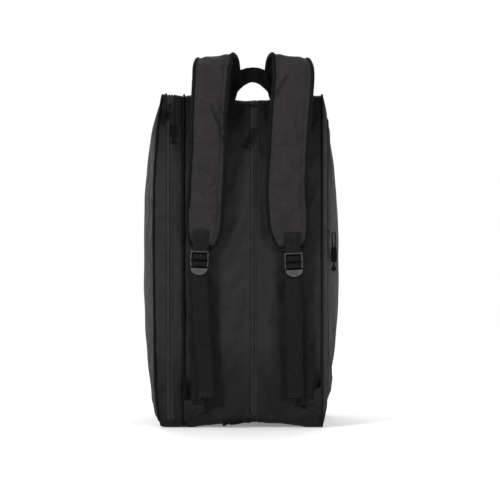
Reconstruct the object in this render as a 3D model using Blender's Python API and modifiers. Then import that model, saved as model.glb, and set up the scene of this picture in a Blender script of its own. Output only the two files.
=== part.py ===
"""Racket tournament bag: a deep padded bag that stands on its base.

Frame: +Z is up, -Y is the carrying side with the shoulder straps, +X is to the right when
looking at that side. The origin is under the middle of the bag, on the surface it stands on.
All lengths are in metres.
"""

import math

import bmesh
import bpy
from mathutils import Matrix, Vector

# Driving dimensions of the bag's body
BODY_HEIGHT = 0.535
BACK_Y = -0.130  # the carrying side
FRONT_Y = 0.170  # the far side
WALL = 0.005  # padded fabric round the rim
SIDE_WALL = 0.004  # padded fabric of the side panels
LINING_THICK = 0.003
TAPE = 0.0015  # zip tape
GAP = 0.0003  # between pieces that touch
ZIP_GAP = 0.0024  # between the two halves of a zip, where the slider's post runs
ZIP_HALF = 0.010  # from a zip's middle to the gusset beside it
CORNER_RADIUS = 0.012

# Places across the bag
LEFT_SEAM_X = (  # by height
    (0.000, -0.130),
    (0.060, -0.137),
    (0.160, -0.139),
    (0.370, -0.140),
    (0.480, -0.134),
    (0.535, -0.126),
)
LEFT_ZIP_X = -0.1135
LEFT_INNER_SEAM_X = -0.0915
MAIN_ZIP_X = 0.021
RIGHT_SEAM_X = 0.130
SIDE_X = 0.1650  # the furthest that the side panels bulge
PIPING_HALF = 0.0013
PIPING_DEPTH = 0.0030  # how far the piping reaches into the seam
LIP = 0.003  # the side panels run straight for this much before they bulge
RIGHT_EDGE_X = RIGHT_SEAM_X + PIPING_HALF + GAP + LIP

# The right pocket's flap, which its own zip frees
FLAP_SHARE = 0.850  # the zip's place on the side panel, as a share of the way out to its edge
FLAP_FOOT_Z = 0.300
FLAP_TAPE = 0.016  # the width of each half of its zip tape, as a share
FLAP_CLEAR = 0.006  # between that tape and the panels beside it, as a share
LEFT_FOOT_Z = 0.0055  # the lower edge of the left side panel, above the base

# The base arches up between its feet
ARCH_START_X, ARCH_END_X = -0.075, 0.105
ARCH_HEIGHT = 0.009

# Inside the main compartment
BOARD_Z = 0.0163
POCKET_OUT = 0.0030  # from the divider's seam to the pocket sewn on it

# Zip sliders and pullers
SLIDER_HALF = 0.0040
SLIDER_LENGTH = 0.012
PULLER_OUT = 0.0052  # from a zip to the middle of its puller
PULLER_THICK = 0.0024
LIFTED_PULLER_OUT = 0.0068  # where a puller lifts off, its head turns clear of its slider's bridge

# Straps
STRAP_THICK = 0.012
YOKE_THICK = 0.010
WEB_WIDTH = 0.0255
WEB_THICK = 0.0016
TAIL_THICK = 0.0024
BUCKLE_Y = -0.1525
BUCKLE_THICK = 0.0040
BUCKLE_HEIGHT = 0.0385
# (shift towards the bag's middle, depth, height, width) of each strap's sewn leg, from its foot to the fold
YOKE = (
    (0.006, -0.1170, 0.5370, 0.054),
    (0.014, -0.1220, 0.5580, 0.058),
    (0.014, -0.1300, 0.5760, 0.060),
    (0.007, -0.1405, 0.5865, 0.062),
    (0.003, -0.1485, 0.5880, 0.062),
)
CROWN_SHIFT, CROWN_Y, CROWN_Z, CROWN_WIDTH = YOKE[-1]
# (height, middle, width) of each shoulder pad, from the fold down
LEFT_PAD = (
    (0.580, -0.0445, 0.062),
    (0.556, -0.0470, 0.061),
    (0.496, -0.0510, 0.060),
    (0.445, -0.0515, 0.060),
    (0.381, -0.0548, 0.061),
    (0.341, -0.0575, 0.062),
    (0.305, -0.0588, 0.060),
    (0.285, -0.0620, 0.046),
)
RIGHT_PAD = (
    (0.580, 0.0815, 0.066),
    (0.556, 0.0830, 0.067),
    (0.496, 0.0780, 0.068),
    (0.445, 0.0752, 0.067),
    (0.381, 0.0727, 0.069),
    (0.341, 0.0746, 0.070),
    (0.305, 0.0778, 0.066),
    (0.282, 0.0815, 0.050),
)
PAD_DEPTH = (  # of both pads' middle, by height
    (0.285, -0.1455),
    (0.344, -0.1500),
    (0.445, -0.1580),
    (0.520, -0.1630),
    (0.560, -0.1625),
    (0.580, -0.1570),
)
# Each strap: the direction of the bag's middle, its pad, how far its buckle stands to the right of its pad's
# foot, how far its tail's foot stands to the right of its buckle, and the seam that its anchor is sewn into
STRAPS = {
    "left": (1, LEFT_PAD, -0.0035, 0.0105, LEFT_INNER_SEAM_X),
    "right": (-1, RIGHT_PAD, 0.0015, 0.0045, RIGHT_SEAM_X),
}
TAB_LENGTH = 0.030  # of the webbing that is sewn to a pad
TAIL_TOP = 0.0420  # from a buckle's top down to its tail
TAIL_FOOT_Z = 0.047
ANCHOR_WIDTH = 0.034  # from its seam to its tip

# The grab loop hangs between the two sewn legs
LOOP_SHIFT = 0.044  # from a pad's middle to the loop's end
LOOP_CLEAR = 0.0008
LOOP_HEIGHT = 0.563
LOOP_BOW = 0.004
LOOP_HALF_THICK, LOOP_HALF_WIDTH = 0.0015, 0.010


# ---------------------------------------------------------------- scene and materials


def clear_scene():
    for thing in list(bpy.data.objects):
        bpy.data.objects.remove(thing, do_unlink=True)


def new_collection(name):
    collection = bpy.data.collections.new(name)
    bpy.context.scene.collection.children.link(collection)
    return collection


def new_material(name, colour, roughness, metallic=0.0):
    material = bpy.data.materials.new(name)
    material.use_nodes = True
    shader = material.node_tree.nodes["Principled BSDF"]
    shader.inputs["Base Color"].default_value = (*colour, 1.0)
    shader.inputs["Roughness"].default_value = roughness
    shader.inputs["Metallic"].default_value = metallic
    return material


clear_scene()
BAG = new_collection("racket_tournament_bag")
CUTTERS = new_collection("cutters")
SHELL = new_material("shell_fabric", (0.030, 0.029, 0.029), 0.85)
STRAP = new_material("strap_fabric", (0.030, 0.030, 0.030), 0.85)
LINING = new_material("lining", (0.040, 0.040, 0.042), 0.90)
BINDING = new_material("binding", (0.020, 0.020, 0.020), 0.80)
MESH = new_material("mesh_pad", (0.018, 0.018, 0.019), 0.90)
WEBBING = new_material("webbing", (0.024, 0.024, 0.024), 0.75)
ZIP = new_material("zip_tape", (0.022, 0.022, 0.022), 0.60)
PULLER = new_material("puller", (0.018, 0.018, 0.018), 0.55)
METAL = new_material("slider_metal", (0.025, 0.025, 0.026), 0.35, 0.8)
PLASTIC = new_material("buckle_plastic", (0.035, 0.035, 0.036), 0.40)


def add_object(name, data, material, collection=BAG):
    thing = bpy.data.objects.new(name, data)
    data.materials.append(material)
    collection.objects.link(thing)
    return thing


def add_mesh(name, bm, material, collection=BAG):
    bmesh.ops.recalc_face_normals(bm, faces=bm.faces)
    mesh = bpy.data.meshes.new(name)
    bm.to_mesh(mesh)
    bm.free()
    return add_object(name, mesh, material, collection)


# ---------------------------------------------------------------- the side view of the body


def side_outline(longest=0.075):
    """The side view: points (y, z), outward normals, and the indices where each corner starts and ends."""
    corners = (
        (BACK_Y, 0.0, CORNER_RADIUS, 3),
        (FRONT_Y - 0.022, 0.0, 0.060, 6),
        (FRONT_Y, 0.17, 0.40, 3),
        (FRONT_Y - 0.032, 0.45, 0.15, 4),
        (FRONT_Y - 0.090, BODY_HEIGHT - 0.008, 0.06, 4),
        (BACK_Y, BODY_HEIGHT, CORNER_RADIUS, 3),
    )
    points, normals, spans = [], [], []
    for i, (y, z, radius, steps) in enumerate(corners):
        here = Vector((y, z))
        go_in = (here - Vector(corners[i - 1][:2])).normalized()
        go_out = (Vector(corners[(i + 1) % len(corners)][:2]) - here).normalized()
        turn = go_in.angle(go_out)
        first_normal = Vector((go_in.y, -go_in.x))
        centre = here - go_in * radius * math.tan(turn / 2) - first_normal * radius
        arc_start = centre + first_normal * radius
        if points:
            add_straight(points, normals, arc_start, longest)
        first = len(points)
        for step in range(steps + 1):
            normal = Matrix.Rotation(turn * step / steps, 2) @ first_normal
            points.append(centre + normal * radius)
            normals.append(normal)
        spans.append((first, len(points) - 1))
    add_straight(points, normals, points[0], longest)
    return points, normals, spans


def add_straight(points, normals, target, longest):
    """Adds points along a straight edge, so that none of its parts is longer than longest."""
    start, normal = points[-1], normals[-1]
    parts = max(1, math.ceil((target - start).length / longest))
    for part in range(1, parts):
        points.append(start.lerp(target, part / parts))
        normals.append(normal)


OUTLINE, NORMALS, SPANS = side_outline()
COUNT = len(OUTLINE)
LOWER_BACK, LOWER_FRONT, UPPER_FRONT, UPPER_BACK = SPANS[0], SPANS[1], SPANS[4], SPANS[5]
BASE_END = LOWER_FRONT[0] + 3  # halfway round the lower front corner
CENTRE = Vector(((BACK_Y + FRONT_Y) / 2, BODY_HEIGHT / 2))


def run(first, last):
    """Outline indices from first to last, going anticlockwise."""
    length = (last - first) % COUNT
    return [(first + k) % COUNT for k in range((length or COUNT) + (1 if length else 0))]


BASE_RUN = run(LOWER_BACK[0], BASE_END)
UPPER_RUN = run(BASE_END, LOWER_BACK[0])
BACK_RUN = run(UPPER_BACK[0], LOWER_BACK[0])
TOP_RUN = run(UPPER_FRONT[0], UPPER_BACK[0])
FRONT_RUN = run(BASE_END, UPPER_FRONT[0])


def interpolate(table, value):
    """Reads a table of (value, result) rows, held at its ends."""
    rows = sorted(table)
    if value <= rows[0][0]:
        return rows[0][1]
    for (v0, r0), (v1, r1) in zip(rows, rows[1:]):
        if value <= v1:
            return r0 + (r1 - r0) * (value - v0) / (v1 - v0)
    return rows[-1][1]


def left_seam(z):
    return interpolate(LEFT_SEAM_X, z)


def arch(x):
    """How far the base is lifted off the floor between its two feet."""
    if not ARCH_START_X < x < ARCH_END_X:
        return 0.0
    return ARCH_HEIGHT * math.sin(math.pi * (x - ARCH_START_X) / (ARCH_END_X - ARCH_START_X))


# ---------------------------------------------------------------- builders


def loft(name, sections, material, closed=False):
    """A body through loops of as many points each; its ends are capped unless it is closed."""
    bm = bmesh.new()
    loops = [[bm.verts.new(point) for point in section] for section in sections]
    pairs = list(zip(loops, loops[1:] + loops[:1])) if closed else list(zip(loops, loops[1:]))
    for a, b in pairs:
        for k in range(len(a)):
            n = (k + 1) % len(a)
            bm.faces.new((a[k], a[n], b[n], b[k]))
    if not closed:
        bm.faces.new(loops[0])
        bm.faces.new(loops[-1])
    return add_mesh(name, bm, material)


def trimmed(indices):
    """Outline points and normals along a run, pulled in a little at both ends so that runs don't touch."""
    places = [(OUTLINE[i].copy(), NORMALS[i]) for i in indices]
    for end, beside in ((0, 1), (-1, -2)):
        along = (places[beside][0] - places[end][0]).normalized()
        places[end] = (places[end][0] + along * GAP / 2, places[end][1])
    return places


def gusset(name, indices, x_low, x_high, material=SHELL, outset=0.0, inset=WALL):
    """A strip of the bag's rim between two places across it. A place is a number or a function of height."""
    closed = len(indices) == COUNT
    places = [(OUTLINE[i], NORMALS[i]) for i in indices] if closed else trimmed(indices)
    sections = []
    for point, normal in places:
        low = x_low(point.y) if callable(x_low) else x_low
        high = x_high(point.y) if callable(x_high) else x_high
        outer = point + normal * outset
        inner = point - normal * inset
        corners = ((low, outer), (high, outer), (high, inner), (low, inner))
        sections.append([(x, place.x, place.y) for x, place in corners])
    return loft(name, sections, material, closed)


def zip_half(name, indices, middle, side):
    """One half of a zip in the rim: side is -1 for the half at lower X and 1 for the other."""
    near = middle + side * ZIP_GAP / 2
    far = middle + side * (ZIP_HALF - GAP)
    return gusset(name, indices, min(near, far), max(near, far), ZIP, -0.0006, 0.0006 + TAPE)


def dome_point(index, share, edge_x, side, foot_z=0.0):
    """A point of a side panel: share is 1 at its edge and 0 at its middle."""
    y, z = OUTLINE[index]
    z = max(z, foot_z)
    edge = edge_x(z) if callable(edge_x) else edge_x
    x = edge + (side * SIDE_X - edge) * (1 - share * share)
    flat = CENTRE.lerp(Vector((y, z)), share)
    return (x, flat.x, flat.y)


def dome(name, shares, edge_x, side, material=SHELL, foot_z=0.0, thickness=SIDE_WALL, lip=0.0):
    """A side panel's ring or cap between its shares, as a shell; lip is a straight stretch at its edge."""
    bm = bmesh.new()
    rows = [(shares[0], -side * lip)] * (lip > 0) + [(share, 0.0) for share in shares if share > 0]
    loops = []
    for share, shift in rows:
        ring = [Vector(dome_point(i, share, edge_x, side, foot_z)) for i in range(COUNT)]
        loops.append([bm.verts.new(p + Vector((shift, 0, 0))) for p in ring])
    for a, b in zip(loops, loops[1:]):
        for k in range(COUNT):
            n = (k + 1) % COUNT
            bm.faces.new((a[k], a[n], b[n], b[k]))
    if shares[-1] == 0:
        middle = bm.verts.new((side * SIDE_X, CENTRE.x, CENTRE.y))
        for k in range(COUNT):
            bm.faces.new((loops[-1][k], loops[-1][(k + 1) % COUNT], middle))
    panel = add_mesh(name, bm, material)
    outward = sum(f.normal.x * f.area for f in panel.data.polygons) * side
    if outward < 0:
        panel.data.flip_normals()
    shell = panel.modifiers.new("thickness", "SOLIDIFY")
    shell.thickness = thickness
    shell.offset = -1
    return panel


def keep_between(thing, low, high):
    """Keeps only what lies between two heights."""
    bpy.ops.mesh.primitive_cube_add(size=1, location=(0, 0, (low + high) / 2))
    cutter = bpy.context.object
    cutter.name = f"keep_{thing.name}"
    cutter.data.transform(Matrix.Diagonal((1.0, 1.0, high - low, 1.0)))
    cutter.hide_render = True
    cutter.display_type = "WIRE"
    for collection in cutter.users_collection:
        collection.objects.unlink(cutter)
    CUTTERS.objects.link(cutter)
    cut = thing.modifiers.new("keep", "BOOLEAN")
    cut.operation = "INTERSECT"
    cut.solver = "EXACT"
    cut.object = cutter


def plate(name, loops, thickness, material, matrix):
    """A flat outline, with any holes as further loops, as thick as thickness, placed by matrix."""
    curve = bpy.data.curves.new(name, "CURVE")
    curve.dimensions = "2D"
    curve.fill_mode = "BOTH"
    curve.extrude = thickness / 2
    for loop in loops:
        spline = curve.splines.new("POLY")
        spline.points.add(len(loop) - 1)
        for point, (u, v) in zip(spline.points, loop):
            point.co = (u, v, 0, 1)
        spline.use_cyclic_u = True
    made = add_object(name, curve, material)
    made.matrix_world = matrix
    return made


def facing(x, y, z):
    """Puts a flat outline in a plane that faces -Y, its own up along +Z."""
    return Matrix.Translation((x, y, z)) @ Matrix.Rotation(math.pi / 2, 4, "X")


def sideways(x):
    """Puts a flat outline of (y, z) points in the plane at x."""
    return Matrix(((0, 0, 1, x), (1, 0, 0, 0), (0, 1, 0, 0), (0, 0, 0, 1)))


def rounded(corners, steps=4):
    """A flat loop with rounded corners, from (u, v, radius) rows in anticlockwise order."""
    loop = []
    for i, (u, v, radius) in enumerate(corners):
        here = Vector((u, v))
        if radius == 0:
            loop.append((u, v))
            continue
        go_in = (here - Vector(corners[i - 1][:2])).normalized()
        go_out = (Vector(corners[(i + 1) % len(corners)][:2]) - here).normalized()
        turn = go_in.angle(go_out)
        normal = Vector((go_in.y, -go_in.x))
        centre = here - go_in * radius * math.tan(turn / 2) - normal * radius
        for step in range(steps + 1):
            loop.append(tuple(centre + Matrix.Rotation(turn * step / steps, 2) @ normal * radius))
    return loop


def rectangle(span_u, span_v, radius):
    """A flat rectangle with rounded corners, from its low and high sides."""
    (u0, u1), (v0, v1) = span_u, span_v
    return rounded(((u0, v0, radius), (u1, v0, radius), (u1, v1, radius), (u0, v1, radius)))


def band(name, stations, thickness, material, lean):
    """A soft band through stations of (middle point, width), with rounded long edges. lean holds the outward
    direction of a station whose own isn't square to the band."""
    sections = []
    for k, (middle, width) in enumerate(stations):
        before = Vector(stations[max(k - 1, 0)][0])
        after = Vector(stations[min(k + 1, len(stations) - 1)][0])
        along = (after - before).normalized()
        across = Vector((1, 0, 0))
        out = along.cross(across).normalized()
        if k in lean:
            out = Vector(lean[k])
        half, thick = width / 2, thickness / 2
        round_in = min(thick, half / 2)
        profile = (
            (-half, -thick * 0.4),
            (-half + round_in, -thick),
            (half - round_in, -thick),
            (half, -thick * 0.4),
            (half, thick * 0.4),
            (half - round_in, thick),
            (-half + round_in, thick),
            (-half, thick * 0.4),
        )
        sections.append([Vector(middle) + across * u + out * v for u, v in profile])
    return loft(name, sections, material)


def flat_band(name, stations, thickness):
    """A webbing through middle points."""
    across = Vector((1, 0, 0))
    sections = []
    for k, middle in enumerate(stations):
        before = Vector(stations[max(k - 1, 0)])
        after = Vector(stations[min(k + 1, len(stations) - 1)])
        out = (after - before).normalized().cross(across).normalized()
        u, v = across * WEB_WIDTH / 2, out * thickness / 2
        sections.append([Vector(middle) + a for a in (-u - v, u - v, u + v, -u + v)])
    return loft(name, sections, WEBBING)


def on_pivot(name, place, things):
    """Hangs a moving body's pieces on an empty that stands on its joint's axis."""
    pivot = bpy.data.objects.new(name, None)
    pivot.location = place
    BAG.objects.link(pivot)
    for thing in things:
        thing.parent = pivot
        thing.matrix_parent_inverse = Matrix.Translation([-c for c in place])
    return pivot


# ---------------------------------------------------------------- the body of the bag


def make_left_compartment():
    """The racket compartment: its outer half folds away from the bag about its lower seam."""
    side_panel = dome(
        "left_side_panel",
        (1.0, 0.94, 0.82, 0.62, 0.35, 0.0),
        lambda z: left_seam(z) - PIPING_HALF - GAP - LIP,
        -1,
        foot_z=LEFT_FOOT_Z,
        lip=LIP,
    )
    outer_edge = LEFT_ZIP_X - ZIP_HALF
    flap = [
        side_panel,
        gusset("left_outer_gusset", UPPER_RUN, lambda z: left_seam(z) + PIPING_HALF + GAP, outer_edge),
        zip_half("left_zip_outer_half", UPPER_RUN, LEFT_ZIP_X, -1),
        gusset(
            "left_outer_piping",
            UPPER_RUN,
            lambda z: left_seam(z) - PIPING_HALF,
            lambda z: left_seam(z) + PIPING_HALF,
            BINDING,
            outset=0.0012,
            inset=PIPING_DEPTH,
        ),
    ]
    zip_half("left_zip_inner_half", UPPER_RUN, LEFT_ZIP_X, 1)
    inner_edge = LEFT_INNER_SEAM_X - PIPING_HALF - GAP
    gusset("left_inner_gusset", UPPER_RUN, LEFT_ZIP_X + ZIP_HALF, inner_edge)
    gusset("left_base_panel", BASE_RUN, lambda z: left_seam(z), inner_edge)
    on_pivot("left_flap_pivot", (left_seam(LEFT_FOOT_Z) - 0.003, 0.0, LEFT_FOOT_Z), flap)


def make_main_compartment():
    """The wide compartment, with one zip down the middle of the carrying side."""
    left_edge = LEFT_INNER_SEAM_X + PIPING_HALF + GAP
    right_edge = RIGHT_SEAM_X - PIPING_HALF - GAP
    gusset("rear_left_panel", BACK_RUN, left_edge, MAIN_ZIP_X - ZIP_HALF)
    gusset("rear_right_panel", BACK_RUN, MAIN_ZIP_X + ZIP_HALF, right_edge)
    zip_half("main_zip_left_half", BACK_RUN, MAIN_ZIP_X, -1)
    zip_half("main_zip_right_half", BACK_RUN, MAIN_ZIP_X, 1)
    gusset("top_panel", TOP_RUN, left_edge, right_edge)
    gusset("front_panel", FRONT_RUN, left_edge, right_edge)
    make_base_panel(left_edge, right_edge)
    for name, x in (("left_divider", LEFT_INNER_SEAM_X), ("right_divider", RIGHT_SEAM_X)):
        wall = [tuple(p - n * (WALL + 2 * GAP)) for p, n in zip(OUTLINE, NORMALS)]
        plate(name, [wall], LINING_THICK, LINING, sideways(x))
    board_y = (BACK_Y + 0.008, FRONT_Y - 0.070)
    board = rectangle((left_edge + 0.002, right_edge - 0.002), board_y, 0.01)
    plate("base_board", [board], LINING_THICK, LINING, Matrix.Translation((0, 0, BOARD_Z)))
    pocket = rectangle((BACK_Y + 0.035, FRONT_Y - 0.045), (0.045, 0.300), 0.01)
    plate("lining_pocket", [pocket], TAPE, LINING, sideways(left_edge + POCKET_OUT))
    for name, x in (("left_inner_piping", LEFT_INNER_SEAM_X), ("right_piping", RIGHT_SEAM_X)):
        gusset(name, run(0, 0), x - PIPING_HALF, x + PIPING_HALF, BINDING, outset=0.0, inset=PIPING_DEPTH)


def make_base_panel(left_edge, right_edge):
    """The main compartment's base, which arches up between its feet."""
    columns = 8
    across = [left_edge + (right_edge - left_edge) * k / columns for k in range(columns + 1)]
    sections = []
    for point, normal in trimmed(BASE_RUN):
        share = max(0.0, 1 - point.y / CORNER_RADIUS)
        inner = point - normal * WALL
        outer_row = [(x, point.x, point.y + arch(x) * share) for x in across]
        inner_row = [(x, inner.x, inner.y + arch(x) * share) for x in reversed(across)]
        sections.append(outer_row + inner_row)
    loft("base_panel", sections, SHELL)


def make_right_side():
    """The right side panel, whose upper half is a flap that its own zip frees."""
    half_gap = ZIP_GAP / (FRONT_Y - BACK_Y)
    zip_out = FLAP_SHARE + half_gap + FLAP_TAPE
    zip_in = FLAP_SHARE - half_gap - FLAP_TAPE
    dome("right_border_panel", (1.0, 0.94, zip_out + FLAP_CLEAR), RIGHT_EDGE_X, 1, lip=LIP)
    lower = dome("right_lower_panel", (zip_out, 0.62, 0.35, 0.0), RIGHT_EDGE_X, 1)
    keep_between(lower, -1.0, FLAP_FOOT_Z - GAP / 2)
    fixed_shares, flap_shares = (zip_out, FLAP_SHARE + half_gap), (FLAP_SHARE - half_gap, zip_in)
    fixed_half = dome("right_zip_fixed_half", fixed_shares, RIGHT_EDGE_X, 1, ZIP, thickness=TAPE)
    flap_half = dome("right_zip_flap_half", flap_shares, RIGHT_EDGE_X, 1, ZIP, thickness=TAPE)
    flap = dome("right_flap_panel", (zip_in - FLAP_CLEAR, 0.62, 0.35, 0.0), RIGHT_EDGE_X, 1)
    for part in (fixed_half, flap_half, flap):
        keep_between(part, FLAP_FOOT_Z + GAP / 2, 1.0)
    on_pivot("right_flap_pivot", (SIDE_X + 0.001, 0.0, FLAP_FOOT_Z), [flap_half, flap])


# ---------------------------------------------------------------- zip sliders and pullers


def slider_outline(plate_left):
    """A slider's section: a plate on each side of the tape, a post in the gap, and a bridge on top."""
    plate_right, post_half, bridge_half = SLIDER_HALF, 0.0008, 0.0014
    outside, inside, plate_thick = 0.0002, -0.0026, 0.0014
    right = [
        (bridge_half, outside + 0.0034),
        (bridge_half, outside + plate_thick),
        (plate_right, outside + plate_thick),
        (plate_right, outside),
        (post_half, outside),
        (post_half, inside),
        (plate_right, inside),
        (plate_right, inside - plate_thick),
    ]
    left = [(-u if u < plate_right else -plate_left, v) for u, v in reversed(right)]
    return right + left


def make_slider(name, matrix, plate_left=SLIDER_HALF):
    """A zip slider: its section is run along the zip. matrix takes (across, out, along) to the bag."""
    plate(name, [slider_outline(plate_left)], SLIDER_LENGTH, METAL, matrix)


def axes_at(place, across, out):
    """A placing matrix from the directions across the zip and out of it."""
    across, out = Vector(across).normalized(), Vector(out).normalized()
    along = across.cross(out)
    matrix = Matrix((across, out, along)).transposed().to_4x4()
    matrix.translation = place
    return matrix


def puller_loops(length):
    """A puller's outline, hanging down from its pivot: a cord loop, a moulded grip and a knot."""
    knot, grip, loop_half = 0.0040, 0.0034, 0.0026
    grip_top, grip_foot, knot_top = -0.38 * length, -0.78 * length, -0.88 * length
    right = [
        (knot, -length, 0.0030),
        (knot, knot_top, 0.0020),
        (grip * 0.65, (grip_foot + knot_top) / 2, 0.0),
        (grip, grip_foot, 0.0010),
        (grip, grip_top - 0.002, 0.0010),
        (loop_half, grip_top + 0.001, 0.0),
        (loop_half, 0.0022, 0.0020),
    ]
    outer = rounded(right + [(-u, v, radius) for u, v, radius in reversed(right)], steps=2)
    hole_half, hole_foot, hole_top = 0.0012, grip_top + 0.002, 0.0008
    hole = [(-hole_half, hole_foot), (hole_half, hole_foot), (hole_half, hole_top), (-hole_half, hole_top)]
    return outer, hole


def make_puller(name, place, length, tilt=0.0, turn=0.0):
    """A puller hung at place, swung by tilt in its own plane, which is turned about the vertical by turn."""
    matrix = (
        Matrix.Translation(place)
        @ Matrix.Rotation(turn, 4, "Z")
        @ Matrix.Rotation(tilt, 4, "Y")
        @ Matrix.Rotation(math.pi / 2, 4, "X")
    )
    puller = plate(name, puller_loops(length), PULLER_THICK, PULLER, matrix)
    on_pivot(f"{name}_pivot", place, [puller])


def make_back_sliders():
    """The carrying side's sliders and pullers. A puller's pivot may lie below its slider's middle."""
    rows = (
        ("main_upper", MAIN_ZIP_X, 0.478, 0.0, 0.034, 25),
        ("main_lower", MAIN_ZIP_X, 0.021, -0.0075, 0.052, 82),
        ("left_upper", LEFT_ZIP_X, 0.5165, 0.0, 0.034, 34),
        ("left_lower", LEFT_ZIP_X, 0.5035, 0.0, 0.050, -6),
    )
    for name, x, z, drop, length, tilt in rows:
        make_slider(f"{name}_slider", axes_at((x, BACK_Y, z), (1, 0, 0), (0, -1, 0)))
        make_puller(f"{name}_puller", (x, BACK_Y - PULLER_OUT, z + drop), length, math.radians(tilt))


def make_right_slider():
    """The pocket zip's slider and puller. The slider's narrow side clears the half on the flap."""
    z = FLAP_FOOT_Z + 0.012
    back_index = next(i for i in BACK_RUN if OUTLINE[i].y < z)
    point = Vector(dome_point(back_index, FLAP_SHARE, RIGHT_EDGE_X, 1))
    inner = Vector(dome_point(back_index, FLAP_SHARE - 0.02, RIGHT_EDGE_X, 1))
    across = (point - inner) * Vector((1, 1, 0))
    out = Vector((-across.y, across.x, 0)).normalized()
    place = Vector((point.x, point.y, z))
    make_slider("right_slider", axes_at(place, across, out), plate_left=0.0011)
    turn = math.atan2(out.x, -out.y)
    make_puller("right_puller", place + out * LIFTED_PULLER_OUT, 0.062, turn=turn)


# ---------------------------------------------------------------- straps


def pad_face(z):
    """The depth of a shoulder pad's outer face, by height."""
    return interpolate(PAD_DEPTH, z) - STRAP_THICK / 2


def make_strap(side):
    """One shoulder strap: its sewn leg, its pad and webbing tab, and what hangs from them."""
    inward, pad_rows, buckle_shift, _, _ = STRAPS[side]
    middle = pad_rows[0][1]
    leg = [((middle + inward * shift, y, z), width) for shift, y, z, width in YOKE]
    band(f"{side}_yoke", leg, YOKE_THICK, MESH, {0: (0, 1, 0), len(leg) - 1: (0, 0, 1)})

    crown_x = middle + inward * CROWN_SHIFT
    crown = [
        ((crown_x, CROWN_Y - 2 * GAP, CROWN_Z), CROWN_WIDTH),
        ((crown_x, CROWN_Y - STRAP_THICK / 2, CROWN_Z - 0.0025), CROWN_WIDTH),
    ]
    rows = [((x, interpolate(PAD_DEPTH, z), z), width) for z, x, width in pad_rows]
    ends = {0: (0, 0, 1), len(rows) + 1: (0, -1, 0)}
    pad = band(f"{side}_shoulder_pad", crown + rows, STRAP_THICK, STRAP, ends)

    foot_z, foot_x, _ = pad_rows[-1]
    tab_out = WEB_THICK / 2 + 2 * GAP
    tab_rows = [(foot_x, pad_face(z) - tab_out, z) for z in (foot_z + TAB_LENGTH, foot_z + 0.004)]
    tab_rows.append((foot_x, BUCKLE_Y, foot_z - 0.0015))
    tab = flat_band(f"{side}_webbing_tab", tab_rows, WEB_THICK)
    on_pivot(f"{side}_strap_pivot", (middle, CROWN_Y, CROWN_Z + STRAP_THICK / 2), [pad, tab])
    hang_webbings(side, foot_x + buckle_shift, foot_z - 0.0022)


def hang_webbings(side, buckle_x, buckle_top):
    """The buckle, the tail that hangs from it, the lower webbing behind the tail, and its anchor."""
    inward, _, _, tail_shift, seam_x = STRAPS[side]
    buckle = make_buckle(f"{side}_buckle", buckle_x, buckle_top)
    tail_z = buckle_top - TAIL_TOP
    tail_rows = [
        (buckle_x, BUCKLE_Y, tail_z),
        (buckle_x + 0.002, BUCKLE_Y + 0.002, tail_z - 0.040),
        (buckle_x + tail_shift, BACK_Y - 0.0110, TAIL_FOOT_Z),
    ]
    tail = flat_band(f"{side}_tail", tail_rows, TAIL_THICK)
    tip_x = seam_x + inward * ANCHOR_WIDTH
    lower_rows = [
        (tip_x - inward * 0.003, BACK_Y - 0.0048, 0.043),
        (tip_x - inward * 0.006, BACK_Y - 0.0070, 0.100),
        (buckle_x - inward * 0.004, BUCKLE_Y + 0.0060, tail_z),
    ]
    flat_band(f"{side}_lower_webbing", lower_rows, WEB_THICK)
    make_anchor(f"{side}_anchor", seam_x, inward)
    on_pivot(f"{side}_buckle_pivot", (buckle_x, BUCKLE_Y, buckle_top), [buckle])
    on_pivot(f"{side}_tail_pivot", (buckle_x, BUCKLE_Y, tail_z), [tail])


def make_buckle(name, x, top):
    """A ladder-lock buckle: a frame with two slots and a rounded lift tab below."""
    half, tab_half, slot_half, slot_height = 0.0149, 0.0118, 0.0130, 0.0060
    frame_foot, tab_top = -0.0280, -0.0300
    outer = rounded(
        (
            (-half, frame_foot, 0.0020),
            (-tab_half, tab_top, 0.0),
            (-tab_half * 0.80, -BUCKLE_HEIGHT, 0.0060),
            (tab_half * 0.80, -BUCKLE_HEIGHT, 0.0060),
            (tab_half, tab_top, 0.0),
            (half, frame_foot, 0.0020),
            (half, 0.0, 0.0030),
            (-half, 0.0, 0.0030),
        ),
        steps=3,
    )
    slots = []
    for slot_top in (-0.0060, -0.0165):
        foot = slot_top - slot_height
        slots.append([(-slot_half, foot), (slot_half, foot), (slot_half, slot_top), (-slot_half, slot_top)])
    return plate(name, [outer, *slots], BUCKLE_THICK, PLASTIC, facing(x, BUCKLE_Y, top))


def make_anchor(name, seam_x, inward):
    """The fabric triangle that is sewn into the seam near the base and takes the lower webbing."""
    base, tip = seam_x + inward * 0.0010, seam_x + inward * ANCHOR_WIDTH
    corners = [(base, 0.012, 0.0), (tip, 0.031, 0.003), (tip, 0.046, 0.003), (base, 0.052, 0.0)]
    if inward < 0:
        corners.reverse()
    plate(name, [rounded(corners, steps=2)], TAIL_THICK, SHELL, facing(0, BACK_Y - 0.0020, 0))


def make_grab_loop():
    """The short webbing handle between the two sewn legs."""
    left = LEFT_PAD[0][1] + LOOP_SHIFT + LOOP_CLEAR
    right = RIGHT_PAD[0][1] - LOOP_SHIFT - LOOP_CLEAR
    middle, half = (left + right) / 2, (right - left) / 2
    depth = YOKE[0][1] - 0.009
    out, up = LOOP_HALF_THICK, LOOP_HALF_WIDTH
    corners = [Vector((0, a, b)) for a, b in ((-out, -up), (out, -up), (out, up), (-out, up))]
    sections, steps = [], 6
    for k in range(steps + 1):
        share = 2 * k / steps - 1
        centre = Vector((middle + half * share, depth - LOOP_BOW * (1 - share * share), LOOP_HEIGHT))
        sections.append([centre + corner for corner in corners])
    loop = loft("grab_loop", sections, WEBBING)
    on_pivot("grab_loop_pivot", (middle, depth, LOOP_HEIGHT), [loop])


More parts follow.
